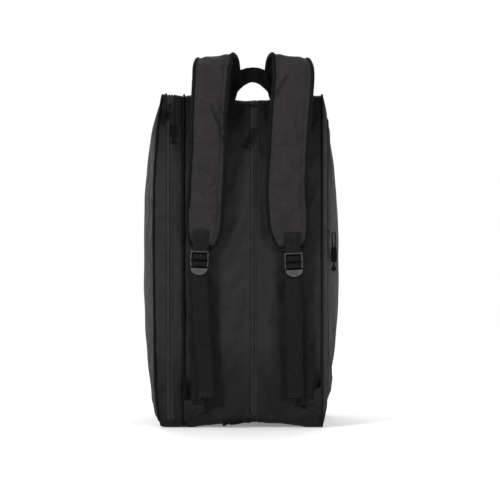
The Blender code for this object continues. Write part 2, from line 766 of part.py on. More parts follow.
make_left_compartment()
make_main_compartment()
make_right_side()
make_back_sliders()
make_right_slider()
for strap_side in STRAPS:
    make_strap(strap_side)
make_grab_loop()
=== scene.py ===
"""Racket tournament bag: the looks of every piece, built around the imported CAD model.

Frame: +Z is up, -Y is the carrying side, +X is to the right when looking at that side. Metres.
Each cover takes the place of a plain CAD solid. Fabric panels are grids that a short cloth run lets
settle, so their folds are those of slightly slack cloth held along its seams.
"""

import math

import bpy
from mathutils import Matrix, Vector, noise
from mathutils.bvhtree import BVHTree


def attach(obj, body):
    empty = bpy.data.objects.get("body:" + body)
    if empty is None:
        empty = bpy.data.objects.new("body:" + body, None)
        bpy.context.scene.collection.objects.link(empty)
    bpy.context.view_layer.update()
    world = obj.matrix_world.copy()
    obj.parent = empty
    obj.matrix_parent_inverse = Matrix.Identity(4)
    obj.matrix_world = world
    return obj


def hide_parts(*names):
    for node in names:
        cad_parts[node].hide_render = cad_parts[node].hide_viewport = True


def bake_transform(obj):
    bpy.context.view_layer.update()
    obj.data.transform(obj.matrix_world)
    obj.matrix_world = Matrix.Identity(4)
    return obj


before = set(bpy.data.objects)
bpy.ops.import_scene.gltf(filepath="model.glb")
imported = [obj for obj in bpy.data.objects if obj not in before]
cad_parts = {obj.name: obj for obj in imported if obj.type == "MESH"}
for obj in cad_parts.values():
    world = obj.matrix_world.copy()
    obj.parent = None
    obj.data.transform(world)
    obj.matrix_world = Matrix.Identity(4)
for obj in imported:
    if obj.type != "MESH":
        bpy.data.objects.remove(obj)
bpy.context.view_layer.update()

# ---------------------------------------------------------------- dimensions shared with the CAD

BODY_HEIGHT = 0.535
BACK_Y = -0.130
FRONT_Y = 0.170
CORNER_RADIUS = 0.012
CENTRE = Vector(((BACK_Y + FRONT_Y) / 2, BODY_HEIGHT / 2))
SIDE_X = 0.165
LEFT_ZIP_X = -0.1135
LEFT_INNER_SEAM_X = -0.0915
MAIN_ZIP_X = 0.021
RIGHT_SEAM_X = 0.130
RIGHT_EDGE_X = 0.1346
PIPING_HALF = 0.0013
LEFT_FOOT_Z = 0.0055
FLAP_SHARE = 0.850
FLAP_FOOT_Z = 0.300
LEFT_SEAM = (
    (0.000, -0.130),
    (0.060, -0.137),
    (0.160, -0.139),
    (0.370, -0.140),
    (0.480, -0.134),
    (0.535, -0.126),
)

# Fabric
GRID = 0.0042  # the spacing of a cover's points
SHELL_THICK = 0.0032
FOLD_X = 0.0047  # from a zip's middle to the folded edge of the fabric beside it
FOLD_LIFT = 0.0017  # how far the folded edge beside a zip stands up
ZIP_SINK = 0.0003  # how far a zip lies below the fabric beside it
STITCH_LENGTH = 0.0030
STITCH_PITCH = 0.0042


# ---------------------------------------------------------------- numbers


def smooth(low, high, value):
    """0 before low, 1 after high, and a smooth rise between them."""
    t = min(1.0, max(0.0, (value - low) / (high - low)))
    return t * t * (3 - 2 * t)


def bell(distance, width):
    return math.exp(-((distance / width) ** 2))


def rough(x, y, z, seed=0.0):
    """Smooth noise between about -1 and 1."""
    return noise.noise(Vector((x + seed, y - seed, z + 0.37 * seed)))


def through(stations, spacing):
    """Rows on a smooth curve through stations, about spacing apart. Each row starts with its place."""
    rows = [tuple(station) for station in stations]
    size = len(rows[0])
    knots = [0.0]
    for a, b in zip(rows, rows[1:]):
        knots.append(knots[-1] + (Vector(b[:3]) - Vector(a[:3])).length)
    slopes = []
    for k in range(len(rows)):
        before, after = max(k - 1, 0), min(k + 1, len(rows) - 1)
        run = knots[after] - knots[before]
        slopes.append([(rows[after][n] - rows[before][n]) / run for n in range(size)])
    made = []
    for k in range(len(rows) - 1):
        span = knots[k + 1] - knots[k]
        steps = max(1, round(span / spacing))
        for step in range(steps):
            t = step / steps
            from_start, from_end = 2 * t**3 - 3 * t**2 + 1, 3 * t**2 - 2 * t**3
            leaving, arriving = (t**3 - 2 * t**2 + t) * span, (t**3 - t**2) * span
            ends = zip(rows[k], slopes[k], rows[k + 1], slopes[k + 1])
            made.append(
                [from_start * a + leaving * da + from_end * b + arriving * db for a, da, b, db in ends]
            )
    made.append(list(rows[-1]))
    return made


def table_curve(table):
    """A function that reads a table of (value, result) rows along a smooth curve, held at its ends."""
    fine = through([(value, result, 0.0) for value, result in table], 0.004)

    def read(value):
        if value <= fine[0][0]:
            return fine[0][1]
        for a, b in zip(fine, fine[1:]):
            if value <= b[0]:
                return a[1] + (b[1] - a[1]) * (value - a[0]) / max(b[0] - a[0], 1e-9)
        return fine[-1][1]

    return read


left_seam = table_curve(LEFT_SEAM)


# ---------------------------------------------------------------- the side view of the bag


def side_outline(step):
    """The side view's points (y, z) and outward normals, about a step apart, and each corner's span."""
    corners = (
        (BACK_Y, 0.0, CORNER_RADIUS),
        (FRONT_Y - 0.022, 0.0, 0.060),
        (FRONT_Y, 0.17, 0.40),
        (FRONT_Y - 0.032, 0.45, 0.15),
        (FRONT_Y - 0.090, BODY_HEIGHT - 0.008, 0.06),
        (BACK_Y, BODY_HEIGHT, CORNER_RADIUS),
    )
    places, spans = [], []
    for i, (y, z, radius) in enumerate(corners):
        here = Vector((y, z))
        go_in = (here - Vector(corners[i - 1][:2])).normalized()
        go_out = (Vector(corners[(i + 1) % len(corners)][:2]) - here).normalized()
        turn = go_in.angle(go_out)
        first_normal = Vector((go_in.y, -go_in.x))
        middle = here - go_in * radius * math.tan(turn / 2) - first_normal * radius
        if places:
            add_straight(places, middle + first_normal * radius, step)
        steps = 2 * max(2, round(turn * radius / step / 2))
        first = len(places)
        for k in range(steps + 1):
            normal = Matrix.Rotation(turn * k / steps, 2) @ first_normal
            places.append((middle + normal * radius, normal))
        spans.append((first, len(places) - 1))
    add_straight(places, places[0][0], step)
    return places, spans


def add_straight(places, target, step):
    start, normal = places[-1]
    parts = max(1, round((target - start).length / step))
    places.extend((start.lerp(target, part / parts), normal) for part in range(1, parts))


OUTLINE, CORNERS = side_outline(GRID)
COUNT = len(OUTLINE)


def run(first, last):
    """Outline indices from first to last, anticlockwise."""
    return [(first + k) % COUNT for k in range((last - first) % COUNT + 1)]


BASE_END = (CORNERS[1][0] + CORNERS[1][1]) // 2
BASE_RUN = run(CORNERS[0][1], BASE_END)
LEFT_BASE_RUN = run(CORNERS[0][0], BASE_END)
UPPER_RUN = run(BASE_END, CORNERS[0][0])
BACK_RUN = run(CORNERS[5][0], CORNERS[0][1])
TOP_RUN = run(CORNERS[4][0], CORNERS[5][0])
FRONT_RUN = run(BASE_END, CORNERS[4][0])
WHOLE_RUN = list(range(COUNT))
REACH = sorted(((p - CENTRE).angle_signed(Vector((1, 0))), (p - CENTRE).length) for p, _ in OUTLINE)


def share_of(y, z):
    """How far out towards the outline a point of the side view lies: 0 at the middle, 1 on the outline."""
    arm = Vector((y, z)) - CENTRE
    if arm.length < 1e-6:
        return 0.0
    angle = arm.angle_signed(Vector((1, 0)))
    low, high = 0, len(REACH) - 1
    while high - low > 1:
        half = (low + high) // 2
        if REACH[half][0] < angle:
            low = half
        else:
            high = half
    (a0, r0), (a1, r1) = REACH[low], REACH[high]
    t = min(1.0, max(0.0, (angle - a0) / max(a1 - a0, 1e-9)))
    return arm.length / (r0 + (r1 - r0) * t)


def arch(x):
    """How far the base is lifted off the floor between its two feet."""
    first, last, height = -0.075, 0.105, 0.008
    if not first < x < last:
        return 0.0
    return height * math.sin(math.pi * (x - first) / (last - first)) ** 0.8


def raised(x, z):
    """The height of a point of the rim once the base's arch has lifted the fabric near it."""
    fold = 0.0016 * rough(x / 0.020, 0, 0, 5.5) * bell(x - 0.02, 0.09)
    return z + (arch(x) + fold) * smooth(0.045, 0.0, z)


# ---------------------------------------------------------------- meshes


def grid_of(rows, wrap_rows=False, wrap_points=False, cap=False):
    """(points, faces) of a grid; cap closes the first and last rows with a face each."""
    count = len(rows[0])
    points = [tuple(point) for row in rows for point in row]
    faces = []
    for r in range(len(rows) if wrap_rows else len(rows) - 1):
        n = (r + 1) % len(rows)
        for c in range(count if wrap_points else count - 1):
            d = (c + 1) % count
            faces.append((r * count + c, n * count + c, n * count + d, r * count + d))
    if cap:
        faces.append(tuple(range(count)))
        faces.append(tuple(reversed(range(len(points) - count, len(points)))))
    return points, faces


def combined(shapes):
    """Several (points, faces) as one."""
    points, faces = [], []
    for some_points, some_faces in shapes:
        base = len(points)
        points.extend(some_points)
        faces.extend(tuple(base + k for k in face) for face in some_faces)
    return points, faces


def placed(shape, matrix):
    points, faces = shape
    return [tuple(matrix @ Vector(point)) for point in points], faces


def frames_along(path, across=None, closed=False):
    """For each point of a path, its place, its sideways direction and its outward direction."""
    made, count = [], len(path)
    side = Vector(across) if across else None
    for k, place in enumerate(path):
        before = path[k - 1] if closed or k else path[0]
        after = path[(k + 1) % count] if closed or k < count - 1 else path[-1]
        along = (Vector(after) - Vector(before)).normalized()
        if across:
            side = Vector(across)
        elif side is None:
            side = along.orthogonal()
        side = (side - along * side.dot(along)).normalized()
        made.append((Vector(place), side, along.cross(side)))
    return made


def sweep(path, profile, across=None, closed=False, sizes=None):
    """A profile of (sideways, outward) points carried along a path; sizes scales it at each point."""
    rows = []
    for k, (place, side, out) in enumerate(frames_along(path, across, closed)):
        size = sizes[k] if sizes else 1.0
        rows.append([place + side * u * size + out * v * size for u, v in profile])
    return grid_of(rows, wrap_rows=closed, wrap_points=True, cap=not closed)


def round_profile(radius, sides=8, flat=1.0):
    turns = [2 * math.pi * k / sides for k in range(sides)]
    return [(radius * math.cos(a), radius * flat * math.sin(a)) for a in turns]


def slab(outline, thickness, edge):
    """A flat outline of (u, v) points as a plate in the plane w = 0, with softened edges."""
    middle = Vector((sum(u for u, _ in outline), sum(v for _, v in outline))) / len(outline)
    reach = max((Vector(p) - middle).length for p in outline)
    rows = []
    for depth, inset in ((-0.5, 1.0), (-0.5, 0.35), (-0.32, 0.0), (0.32, 0.0), (0.5, 0.35), (0.5, 1.0)):
        scale = 1 - inset * edge / reach
        rows.append([(*(middle + (Vector(p) - middle) * scale), depth * thickness) for p in outline])
    return grid_of(rows, wrap_points=True, cap=True)


def rounded(corners, steps=4):
    """A flat loop with rounded corners, from (u, v, radius) rows in anticlockwise order."""
    loop = []
    for i, (u, v, radius) in enumerate(corners):
        here = Vector((u, v))
        go_in = (here - Vector(corners[i - 1][:2])).normalized()
        go_out = (Vector(corners[(i + 1) % len(corners)][:2]) - here).normalized()
        if radius == 0:
            loop.append((u, v))
            continue
        turn = go_in.angle_signed(go_out) * -1
        normal = Vector((go_in.y, -go_in.x)) * (1 if turn > 0 else -1)
        middle = here - go_in * radius * math.tan(abs(turn) / 2) - normal * radius
        for step in range(steps + 1):
            loop.append(tuple(middle + Matrix.Rotation(turn * step / steps, 2) @ normal * radius))
    return loop


def new_piece(name, shape, materials):
    """An object from (points, faces), its faces turned outwards."""
    mesh = bpy.data.meshes.new(name)
    mesh.from_pydata(shape[0], [], shape[1])
    mesh.update()
    mesh.shade_smooth()
    for material in materials if isinstance(materials, (list, tuple)) else [materials]:
        mesh.materials.append(material)
    made = bpy.data.objects.new(name, mesh)
    bpy.context.scene.collection.objects.link(made)
    return made


def face_away(piece, centre=(0.0, 0.02, 0.27)):
    """Turns an open sheet's faces away from a point."""
    middle = Vector(centre)
    total = sum(face.normal.dot(face.center - middle) * face.area for face in piece.data.polygons)
    if total < 0:
        piece.data.flip_normals()


def close_faces(piece):
    """Turns a closed body's faces outwards."""
    volume = 0.0
    for face in piece.data.polygons:
        volume += face.center.dot(face.normal) * face.area
    if volume < 0:
        piece.data.flip_normals()


def thicken(piece, thickness=SHELL_THICK, inner=1):
    shell = piece.modifiers.new("thickness", "SOLIDIFY")
    shell.thickness = thickness
    shell.offset = -1
    shell.material_offset = inner


def refine(piece, levels=1):
    finer = piece.modifiers.new("finer", "SUBSURF")
    finer.levels = finer.render_levels = levels


def settled_mesh(piece):
    """A copy of a piece's mesh with its modifiers applied."""
    graph = bpy.context.evaluated_depsgraph_get()
    return bpy.data.meshes.new_from_object(piece.evaluated_get(graph))


def apply_modifiers(piece):
    piece.data = settled_mesh(piece)
    piece.modifiers.clear()


def surface_tree(piece):
    mesh = settled_mesh(piece)
    tree = BVHTree.FromPolygons([v.co for v in mesh.vertices], [tuple(p.vertices) for p in mesh.polygons])
    bpy.data.meshes.remove(mesh)
    return tree


def mount(piece, body, slot, *nodes):
    """Puts a finished piece on its CAD body, in place of the CAD nodes that it stands for."""
    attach(piece, body)
    if nodes:
        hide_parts(*nodes)
    return piece


# ---------------------------------------------------------------- cloth


def settle(piece, held, cap, swell=0.008, gravity=0.4, pressure=0.0, frames=16, bend=0.8):
    """Lets a sheet of fabric find its folds. held gives each point's hold: 1 keeps it where it is."""
    scene = bpy.context.scene
    start = [vertex.co.copy() for vertex in piece.data.vertices]
    group = piece.vertex_groups.new(name="held")
    for index, weight in enumerate(held):
        if weight > 0:
            group.add([index], weight, "REPLACE")
    cloth = piece.modifiers.new("cloth", "CLOTH")
    cloth.settings.quality = 5
    cloth.settings.mass = 0.2
    cloth.settings.tension_stiffness = 20
    cloth.settings.compression_stiffness = 20
    cloth.settings.shear_stiffness = 8
    cloth.settings.bending_stiffness = bend
    cloth.settings.air_damping = 2
    cloth.settings.vertex_group_mass = "held"
    cloth.settings.shrink_min = -swell
    cloth.settings.use_pressure = pressure > 0
    cloth.settings.uniform_pressure_force = pressure
    cloth.settings.effector_weights.gravity = gravity
    cloth.collision_settings.use_collision = False
    cloth.point_cache.frame_start = 1
    cloth.point_cache.frame_end = frames
    for number in range(1, frames + 1):
        scene.frame_set(number)
    graph = bpy.context.evaluated_depsgraph_get()
    moved = [vertex.co.copy() for vertex in piece.evaluated_get(graph).data.vertices]
    piece.modifiers.remove(cloth)
    piece.vertex_groups.remove(group)
    scene.frame_set(1)
    for vertex, old, new in zip(piece.data.vertices, start, moved):
        shift = new - old
        if shift.length > cap:
            shift *= cap / shift.length
        vertex.co = old + shift
    piece.data.update()


# ---------------------------------------------------------------- materials

WEAVE_HEIGHT = 0.00022
CRUMPLE_HEIGHT = 0.0090
# Painted shade: how much of the shell's colour is kept at each height on the carrying side, darker near the
# base and under the rim.
SHELL_PAINTED_SHADE = (  # (share of the body's height, share of the shell's colour) on the carrying side
    (0.0, 0.36),
    (0.09, 0.46),
    (0.30, 1.0),
    (0.76, 1.0),
    (0.86, 0.55),
    (0.93, 0.18),
    (1.0, 0.12),
)
MIX_FACTOR, MIX_A, MIX_B, MIX_RESULT = 0, 6, 7, 2  # a colour Mix node's sockets, whose names repeat


class Recipe:
    """A material's node tree, with short calls for the nodes that the fabrics share."""

    def __init__(self, name, colour, roughness, metallic=0.0):
        self.material = bpy.data.materials.new(name)
        self.material.use_nodes = True
        self.tree = self.material.node_tree
        self.shader = self.tree.nodes["Principled BSDF"]
        self.colour = colour
        self.shader.inputs["Base Color"].default_value = (*colour, 1)
        self.shader.inputs["Roughness"].default_value = roughness
        self.shader.inputs["Metallic"].default_value = metallic
        self.place = self.node("ShaderNodeTexCoord").outputs["Object"]

    def node(self, kind, **settings):
        made = self.tree.nodes.new(kind)
        for key, value in settings.items():
            setattr(made, key, value)
        return made

    def join(self, source, target):
        self.tree.links.new(source, target)

    def sum_of(self, *terms):
        """The sum of value sockets and numbers."""
        total = terms[0]
        for term in terms[1:]:
            total = self.maths("ADD", total, term)
        return total

    def maths(self, operation, *values):
        made = self.node("ShaderNodeMath", operation=operation)
        for socket, value in zip(made.inputs, values):
            if isinstance(value, (int, float)):
                socket.default_value = value
            else:
                self.join(value, socket)
        return made.outputs[0]

    def waves(self, x, y, z):
        """Sine waves with these periods' worth of turns per metre along each axis."""
        split = self.node("ShaderNodeSeparateXYZ")
        self.join(self.place, split.inputs[0])
        parts = []
        for axis, turns in zip(split.outputs, (x, y, z)):
            if turns:
                parts.append(self.maths("MULTIPLY", axis, 2 * math.pi * turns))
        return self.maths("SINE", self.sum_of(*parts))

    def cloud(self, scale, detail=3.0):
        made = self.node("ShaderNodeTexNoise")
        made.inputs["Scale"].default_value = scale
        made.inputs["Detail"].default_value = detail
        self.join(self.place, made.inputs["Vector"])
        return made.outputs["Fac"]

    def tint(self, fac, dark, light, low=0.3, high=0.7):
        """The base colour varied from dark to light times itself as fac goes from low to high."""
        ramp = self.node("ShaderNodeValToRGB")
        ramp.color_ramp.elements[0].position = low
        ramp.color_ramp.elements[1].position = high
        for element, factor in zip(ramp.color_ramp.elements, (dark, light)):
            element.color = (*[c * factor for c in self.colour], 1)
        self.join(fac, ramp.inputs["Fac"])
        self.join(ramp.outputs["Color"], self.shader.inputs["Base Color"])

    def bump(self, height, distance, strength=0.6):
        made = self.node("ShaderNodeBump")
        made.inputs["Distance"].default_value = distance
        made.inputs["Strength"].default_value = strength
        self.join(height, made.inputs["Height"])
        self.join(made.outputs["Normal"], self.shader.inputs["Normal"])

    def vary_roughness(self, fac, low, high):
        spread = self.node("ShaderNodeMapRange")
        spread.inputs["To Min"].default_value = low
        spread.inputs["To Max"].default_value = high
        self.join(fac, spread.inputs["Value"])
        self.join(spread.outputs["Result"], self.shader.inputs["Roughness"])

    def sheen(self, weight, roughness=0.4):
        self.shader.inputs["Sheen Weight"].default_value = weight
        self.shader.inputs["Sheen Roughness"].default_value = roughness


def woven(name, colour, threads=700, mottle=0.16, sheen=0.03, roughness=0.68, coarse=0.5):
    """Plain-woven polyester: crossing threads, blotchy dye and a faint sheen."""
    cloth = Recipe(name, colour, roughness)
    warp = cloth.waves(threads, threads, 0)
    weft = cloth.waves(threads / 2, -threads / 2, threads)
    blotch = cloth.maths("MULTIPLY", cloth.cloud(38, 4), 0.65)
    blotch = cloth.sum_of(blotch, cloth.maths("MULTIPLY", cloth.cloud(420, 2), 0.35))
    cloth.tint(blotch, 1 - mottle, 1 + mottle)
    slubs = cloth.maths("MULTIPLY", cloth.cloud(900, 2), coarse)
    crumples = cloth.maths("MULTIPLY", cloth.cloud(34, 5), CRUMPLE_HEIGHT / WEAVE_HEIGHT)
    cloth.bump(cloth.sum_of(cloth.maths("MULTIPLY", warp, weft), slubs, crumples), WEAVE_HEIGHT)
    cloth.vary_roughness(cloth.cloud(60), roughness - 0.12, roughness + 0.1)
    cloth.shader.inputs["Specular IOR Level"].default_value = 0.08
    cloth.sheen(sheen)
    return cloth.material


def ribbed(name, colour, across, along, sheen=0.02, roughness=0.7):
    """Webbing, tape or binding: ribs that run along it, crossed by fine threads."""
    web = Recipe(name, colour, roughness)
    ribs = web.waves(*across)
    threads = web.waves(*along)
    web.tint(web.cloud(160), 0.82, 1.18)
    crossing = web.maths("MULTIPLY", threads, 0.45)
    fuzz = web.maths("MULTIPLY", web.cloud(700, 2), 0.5)
    web.bump(web.sum_of(ribs, crossing, fuzz), 0.0003)
    web.vary_roughness(web.cloud(90), roughness - 0.1, roughness + 0.1)
    web.shader.inputs["Specular IOR Level"].default_value = 0.04
    web.sheen(sheen)
    return web.material


def netted(name, colour):
    """Spacer mesh: round holes in a honeycomb over a darker ground."""
    net = Recipe(name, colour, 0.9)
    cells = net.node("ShaderNodeTexVoronoi", feature="F1")
    cells.inputs["Scale"].default_value = 420
    cells.inputs["Randomness"].default_value = 0.35
    net.join(net.place, cells.inputs["Vector"])
    distance = cells.outputs["Distance"]
    net.tint(distance, 0.25, 1.5, low=0.25, high=0.6)
    net.bump(distance, 0.0006, 0.8)
    net.shader.inputs["Specular IOR Level"].default_value = 0.02
    return net.material


def moulded(name, colour, roughness, polish, grain=0.00004):
    """Moulded plastic, rubber or lacquered metal, with a fine grain and uneven polish."""
    hard = Recipe(name, colour, roughness)
    hard.shader.inputs["Specular IOR Level"].default_value = polish
    hard.tint(hard.cloud(110), 0.85, 1.2)
    hard.bump(hard.cloud(1400, 4), grain, 0.5)
    hard.vary_roughness(hard.cloud(240), roughness - 0.08, roughness + 0.12)
    return hard.material


def paint_shade(material):
    """Paints shade into the shell's colour: darker near the base and under the rim of the carrying side,
    where shade falls.
    """
    tree = material.node_tree
    shader = tree.nodes["Principled BSDF"]
    tone = shader.inputs["Base Color"].links[0].from_socket
    place = next(n for n in tree.nodes if n.bl_idname == "ShaderNodeTexCoord").outputs["Object"]
    split = tree.nodes.new("ShaderNodeSeparateXYZ")
    tree.links.new(place, split.inputs[0])
    height = tree.nodes.new("ShaderNodeValToRGB")
    height.color_ramp.interpolation = "EASE"
    height.color_ramp.elements.remove(height.color_ramp.elements[1])
    for k, (position, value) in enumerate(SHELL_PAINTED_SHADE):
        stop = height.color_ramp.elements[0] if k == 0 else height.color_ramp.elements.new(position)
        stop.position = position
        stop.color = (value, value, value, 1)
    scale = tree.nodes.new("ShaderNodeMath")
    scale.operation = "DIVIDE"
    scale.inputs[1].default_value = BODY_HEIGHT
    tree.links.new(split.outputs["Z"], scale.inputs[0])
    tree.links.new(scale.outputs[0], height.inputs["Fac"])
    back = tree.nodes.new("ShaderNodeMapRange")
    back.inputs["From Min"].default_value = -0.095
    back.inputs["From Max"].default_value = -0.125
    tree.links.new(split.outputs["Y"], back.inputs["Value"])
    shade = tree.nodes.new("ShaderNodeMix")
    shade.data_type = "RGBA"
    shade.blend_type = "MULTIPLY"
    tree.links.new(back.outputs["Result"], shade.inputs[MIX_FACTOR])
    tree.links.new(tone, shade.inputs[MIX_A])
    tree.links.new(height.outputs["Color"], shade.inputs[MIX_B])
    tree.links.new(shade.outputs[MIX_RESULT], shader.inputs["Base Color"])


SHELL = woven("shell_cloth", (0.0108, 0.0101, 0.0098), mottle=0.2)
# Painted shade on the shell, near the base and under the rim of the carrying side.
paint_shade(SHELL)
STRAP = woven("strap_cloth", (0.0118, 0.0110, 0.0106), threads=640, mottle=0.22)
LINING = woven("lining_cloth", (0.036, 0.036, 0.038), threads=900, mottle=0.08)
BINDING = ribbed("binding_tape", (0.0034, 0.0032, 0.0032), (420, 420, 0), (0, 0, 650))
RIM = ribbed("rim_tape", (0.0040, 0.0030, 0.0027), (0, 0, 700), (900, 0, 0))
WEBBING = ribbed("webbing_weave", (0.0052, 0.0049, 0.0048), (260, 260, 0), (0, 0, 520))
ZIP_TAPE = ribbed("zip_weave", (0.0170, 0.0162, 0.0159), (0, 0, 620), (620, 620, 0))
NET = netted("spacer_mesh", (0.0028, 0.0028, 0.0030))
THREAD = moulded("sewing_thread", (0.0220, 0.0205, 0.0200), 0.7, polish=0.08)
COIL = moulded("zip_coil", (0.0080, 0.0078, 0.0078), 0.5, polish=0.15)
PULLER = moulded("puller_rubber", (0.0016, 0.0016, 0.0016), 0.5, polish=0.03)
LACQUER = moulded("slider_lacquer", (0.0035, 0.0035, 0.0035), 0.42, polish=0.16)
ACETAL = moulded("buckle_acetal", (0.026, 0.026, 0.027), 0.36, polish=0.35)
# Painted shadow: the buckle's own plastic made near black, for its lower cross bars and the shadow line under
# its top bar.
SHADOW_ACETAL = moulded("buckle_bars_painted_shadow", (0.0010, 0.0010, 0.0010), 0.3, polish=0.03)


# ---------------------------------------------------------------- the fabric round the bag's rim


def tucked(distance):
    """How a panel's surface turns in towards a seam or fold at this distance."""
    return -0.0016 * math.exp(-distance / 0.0034)


def seam_pucker(distance, along, seed):
    """The small ripples that stitching pulls up beside a seam."""
    return 0.00085 * math.exp(-distance / 0.011) * rough(along / 0.0075, 0, 0, seed)


def stitch_pucker(distance, along, seed):
    """The row of small dimples along the outer stitches beside a zip."""
    strength = 0.55 + 0.45 * rough(along / 0.06, 0, 0, seed)
    dimples = -0.00062 * strength * (1 + math.sin(2 * math.pi * along / 0.0072))
    return dimples * bell(distance - 0.0070, 0.0018)


def valley(x, z, middle, lean):
    """The soft hollow beside a lower webbing, which widens downwards and drifts towards the bag's middle."""
    down = (0.25 - z) / 0.20
    width = 0.017 + 0.011 * min(1.0, max(0.0, down))
    return bell(x - (middle + lean * down), width) * smooth(0.36, 0.19, z) * smooth(0.0, 0.05, z)


def back_relief(x, z):
    """How far the carrying side stands out at a place, from what lies behind it and what presses on it."""
    bulge = 0.0042 * bell(x - 0.014, 0.066) * smooth(0.0, 0.15, z) * smooth(0.53, 0.36, z)
    pressed = 0.0088 * valley(x, z, -0.061, 0.013) + 0.0092 * valley(x, z, 0.083, -0.015)
    slack = 0.0018 * rough(x / 0.045, 0, z / 0.075, 3.1) + 0.0012 * rough(x / 0.020, 0, z / 0.026, 6.3)
    drag = 0.0018 * rough(x / 0.035, 0, z / 0.0125, 8.4)
    drag = drag * bell(x - MAIN_ZIP_X, 0.026) * smooth(0.34, 0.22, z)
    hollow = bell(x + 0.086, 0.008) * bell(z - 0.058, 0.016)
    hollow += bell(x - 0.121, 0.010) * bell(z - 0.062, 0.018)
    relief = bulge - pressed + slack + drag - 0.0110 * hollow
    from_zip = abs(x - MAIN_ZIP_X)
    held_by_zip = 0.0010 + 0.20 * max(0.0, from_zip - 0.018)
    return min(relief, held_by_zip + 0.15 * (relief - held_by_zip)) * smooth(0.003, 0.026, from_zip)


def slump(x, z):
    """How far the top of the main compartment sags between the straps."""
    return -0.0090 * bell(x - 0.019, 0.055) * smooth(0.488, 0.530, z)


def rim_relief(x, place, normal, seed):
    """How far the rim stands out: the carrying side has its own relief, the rest is loosely slack."""
    slack = 0.0014 * rough(x / 0.06, place.x / 0.07, place.y / 0.08, seed)
    gathers = 0.0021 * rough(x / 0.0075, place.x / 0.012, place.y / 0.010, seed)
    gathers *= smooth(0.512, 0.528, place.y)
    facing = smooth(0.80, 0.99, -normal.x)
    near_back = smooth(-0.085, -0.125, place.x)
    return slack * (1 - facing) + back_relief(x, place.y) * facing + gathers * near_back


def rim_cover(name, indices, low, high, seed, lift=0.0, sealed=(True, True), ends=(True, True)):
    """A fabric panel of the rim between two places across it, which are functions of height. lift raises its
    folded edges; sealed says which long sides end in a seam, not a fold."""
    rows, width = [], 0.0
    for index in indices:
        z = OUTLINE[index][0].y
        width = max(width, high(z) - low(z))
    columns = max(5, round(width / GRID))
    along = 0.0
    for order, index in enumerate(indices):
        place, normal = OUTLINE[index]
        if order:
            along += (place - OUTLINE[indices[order - 1]][0]).length
        x0, x1 = low(place.y), high(place.y)
        row = []
        for c in range(columns + 1):
            x = x0 + (x1 - x0) * edge_packed(c / columns)
            out = rim_relief(x, place, normal, seed)
            for side, gap in ((0, x - x0), (1, x1 - x)):
                if sealed[side]:
                    out += tucked(gap) + seam_pucker(gap, along, seed + side)
                else:
                    out += lift * bell(gap - 0.0016, 0.0022) - 0.0008 * math.exp(-gap / 0.0007)
                    out += 0.6 * seam_pucker(gap, along, seed + side)
                    out += stitch_pucker(gap, along, seed)
            row.append((x, place.x + normal.x * out, raised(x, place.y + normal.y * out + slump(x, place.y))))
        rows.append(row)
    for end, wanted in ((0, ends[0]), (-1, ends[1])):
        if wanted:
            tuck_end(rows, indices, end)
    made = new_piece(name, grid_of(rows), [SHELL, LINING])
    face_away(made)
    return made, len(rows), columns + 1


def edge_packed(share):
    """Packs a panel's columns a little closer together at its sides."""
    return share - 0.10 * math.sin(2 * math.pi * share) / math.pi


def tuck_end(rows, indices, end):
    """Sinks a panel's short end into the seam that closes it."""
    order = range(5) if end == 0 else range(-1, -6, -1)
    for step, r in enumerate(order):
        normal = OUTLINE[indices[r]][1]
        sink = tucked(step * GRID)
        rows[r] = [(x, y + normal.x * sink, z + normal.y * sink) for x, y, z in rows[r]]


def rim_hold(row_count, column_count):
    """Seams hold a panel's edges, and the padding behind it holds the rest a little."""
    held = []
    for r in range(row_count):
        for c in range(column_count):
            inside = min(r, row_count - 1 - r, c, column_count - 1 - c)
            held.append(1.0 if inside < 2 else 0.0)
    return held


def finish_cover(made, body, nodes, cap, swell=0.010, **cloth):
    piece, row_count, column_count = made
    settle(piece, rim_hold(row_count, column_count), cap, swell, **cloth)
    thicken(piece)
    refine(piece)
    mount(piece, body, "shell_fabric", *nodes)
    return piece


def constant(x):
    return lambda z: x


def outer_seam(z):
    return left_seam(z) + PIPING_HALF


MAIN_LEFT = constant(LEFT_INNER_SEAM_X + PIPING_HALF)
MAIN_RIGHT = constant(RIGHT_SEAM_X - PIPING_HALF)
covers = {}


def rim_body(name):
    """The body that a panel of the rim moves with."""
    return "left_flap" if name == "left_outer" else "bag"


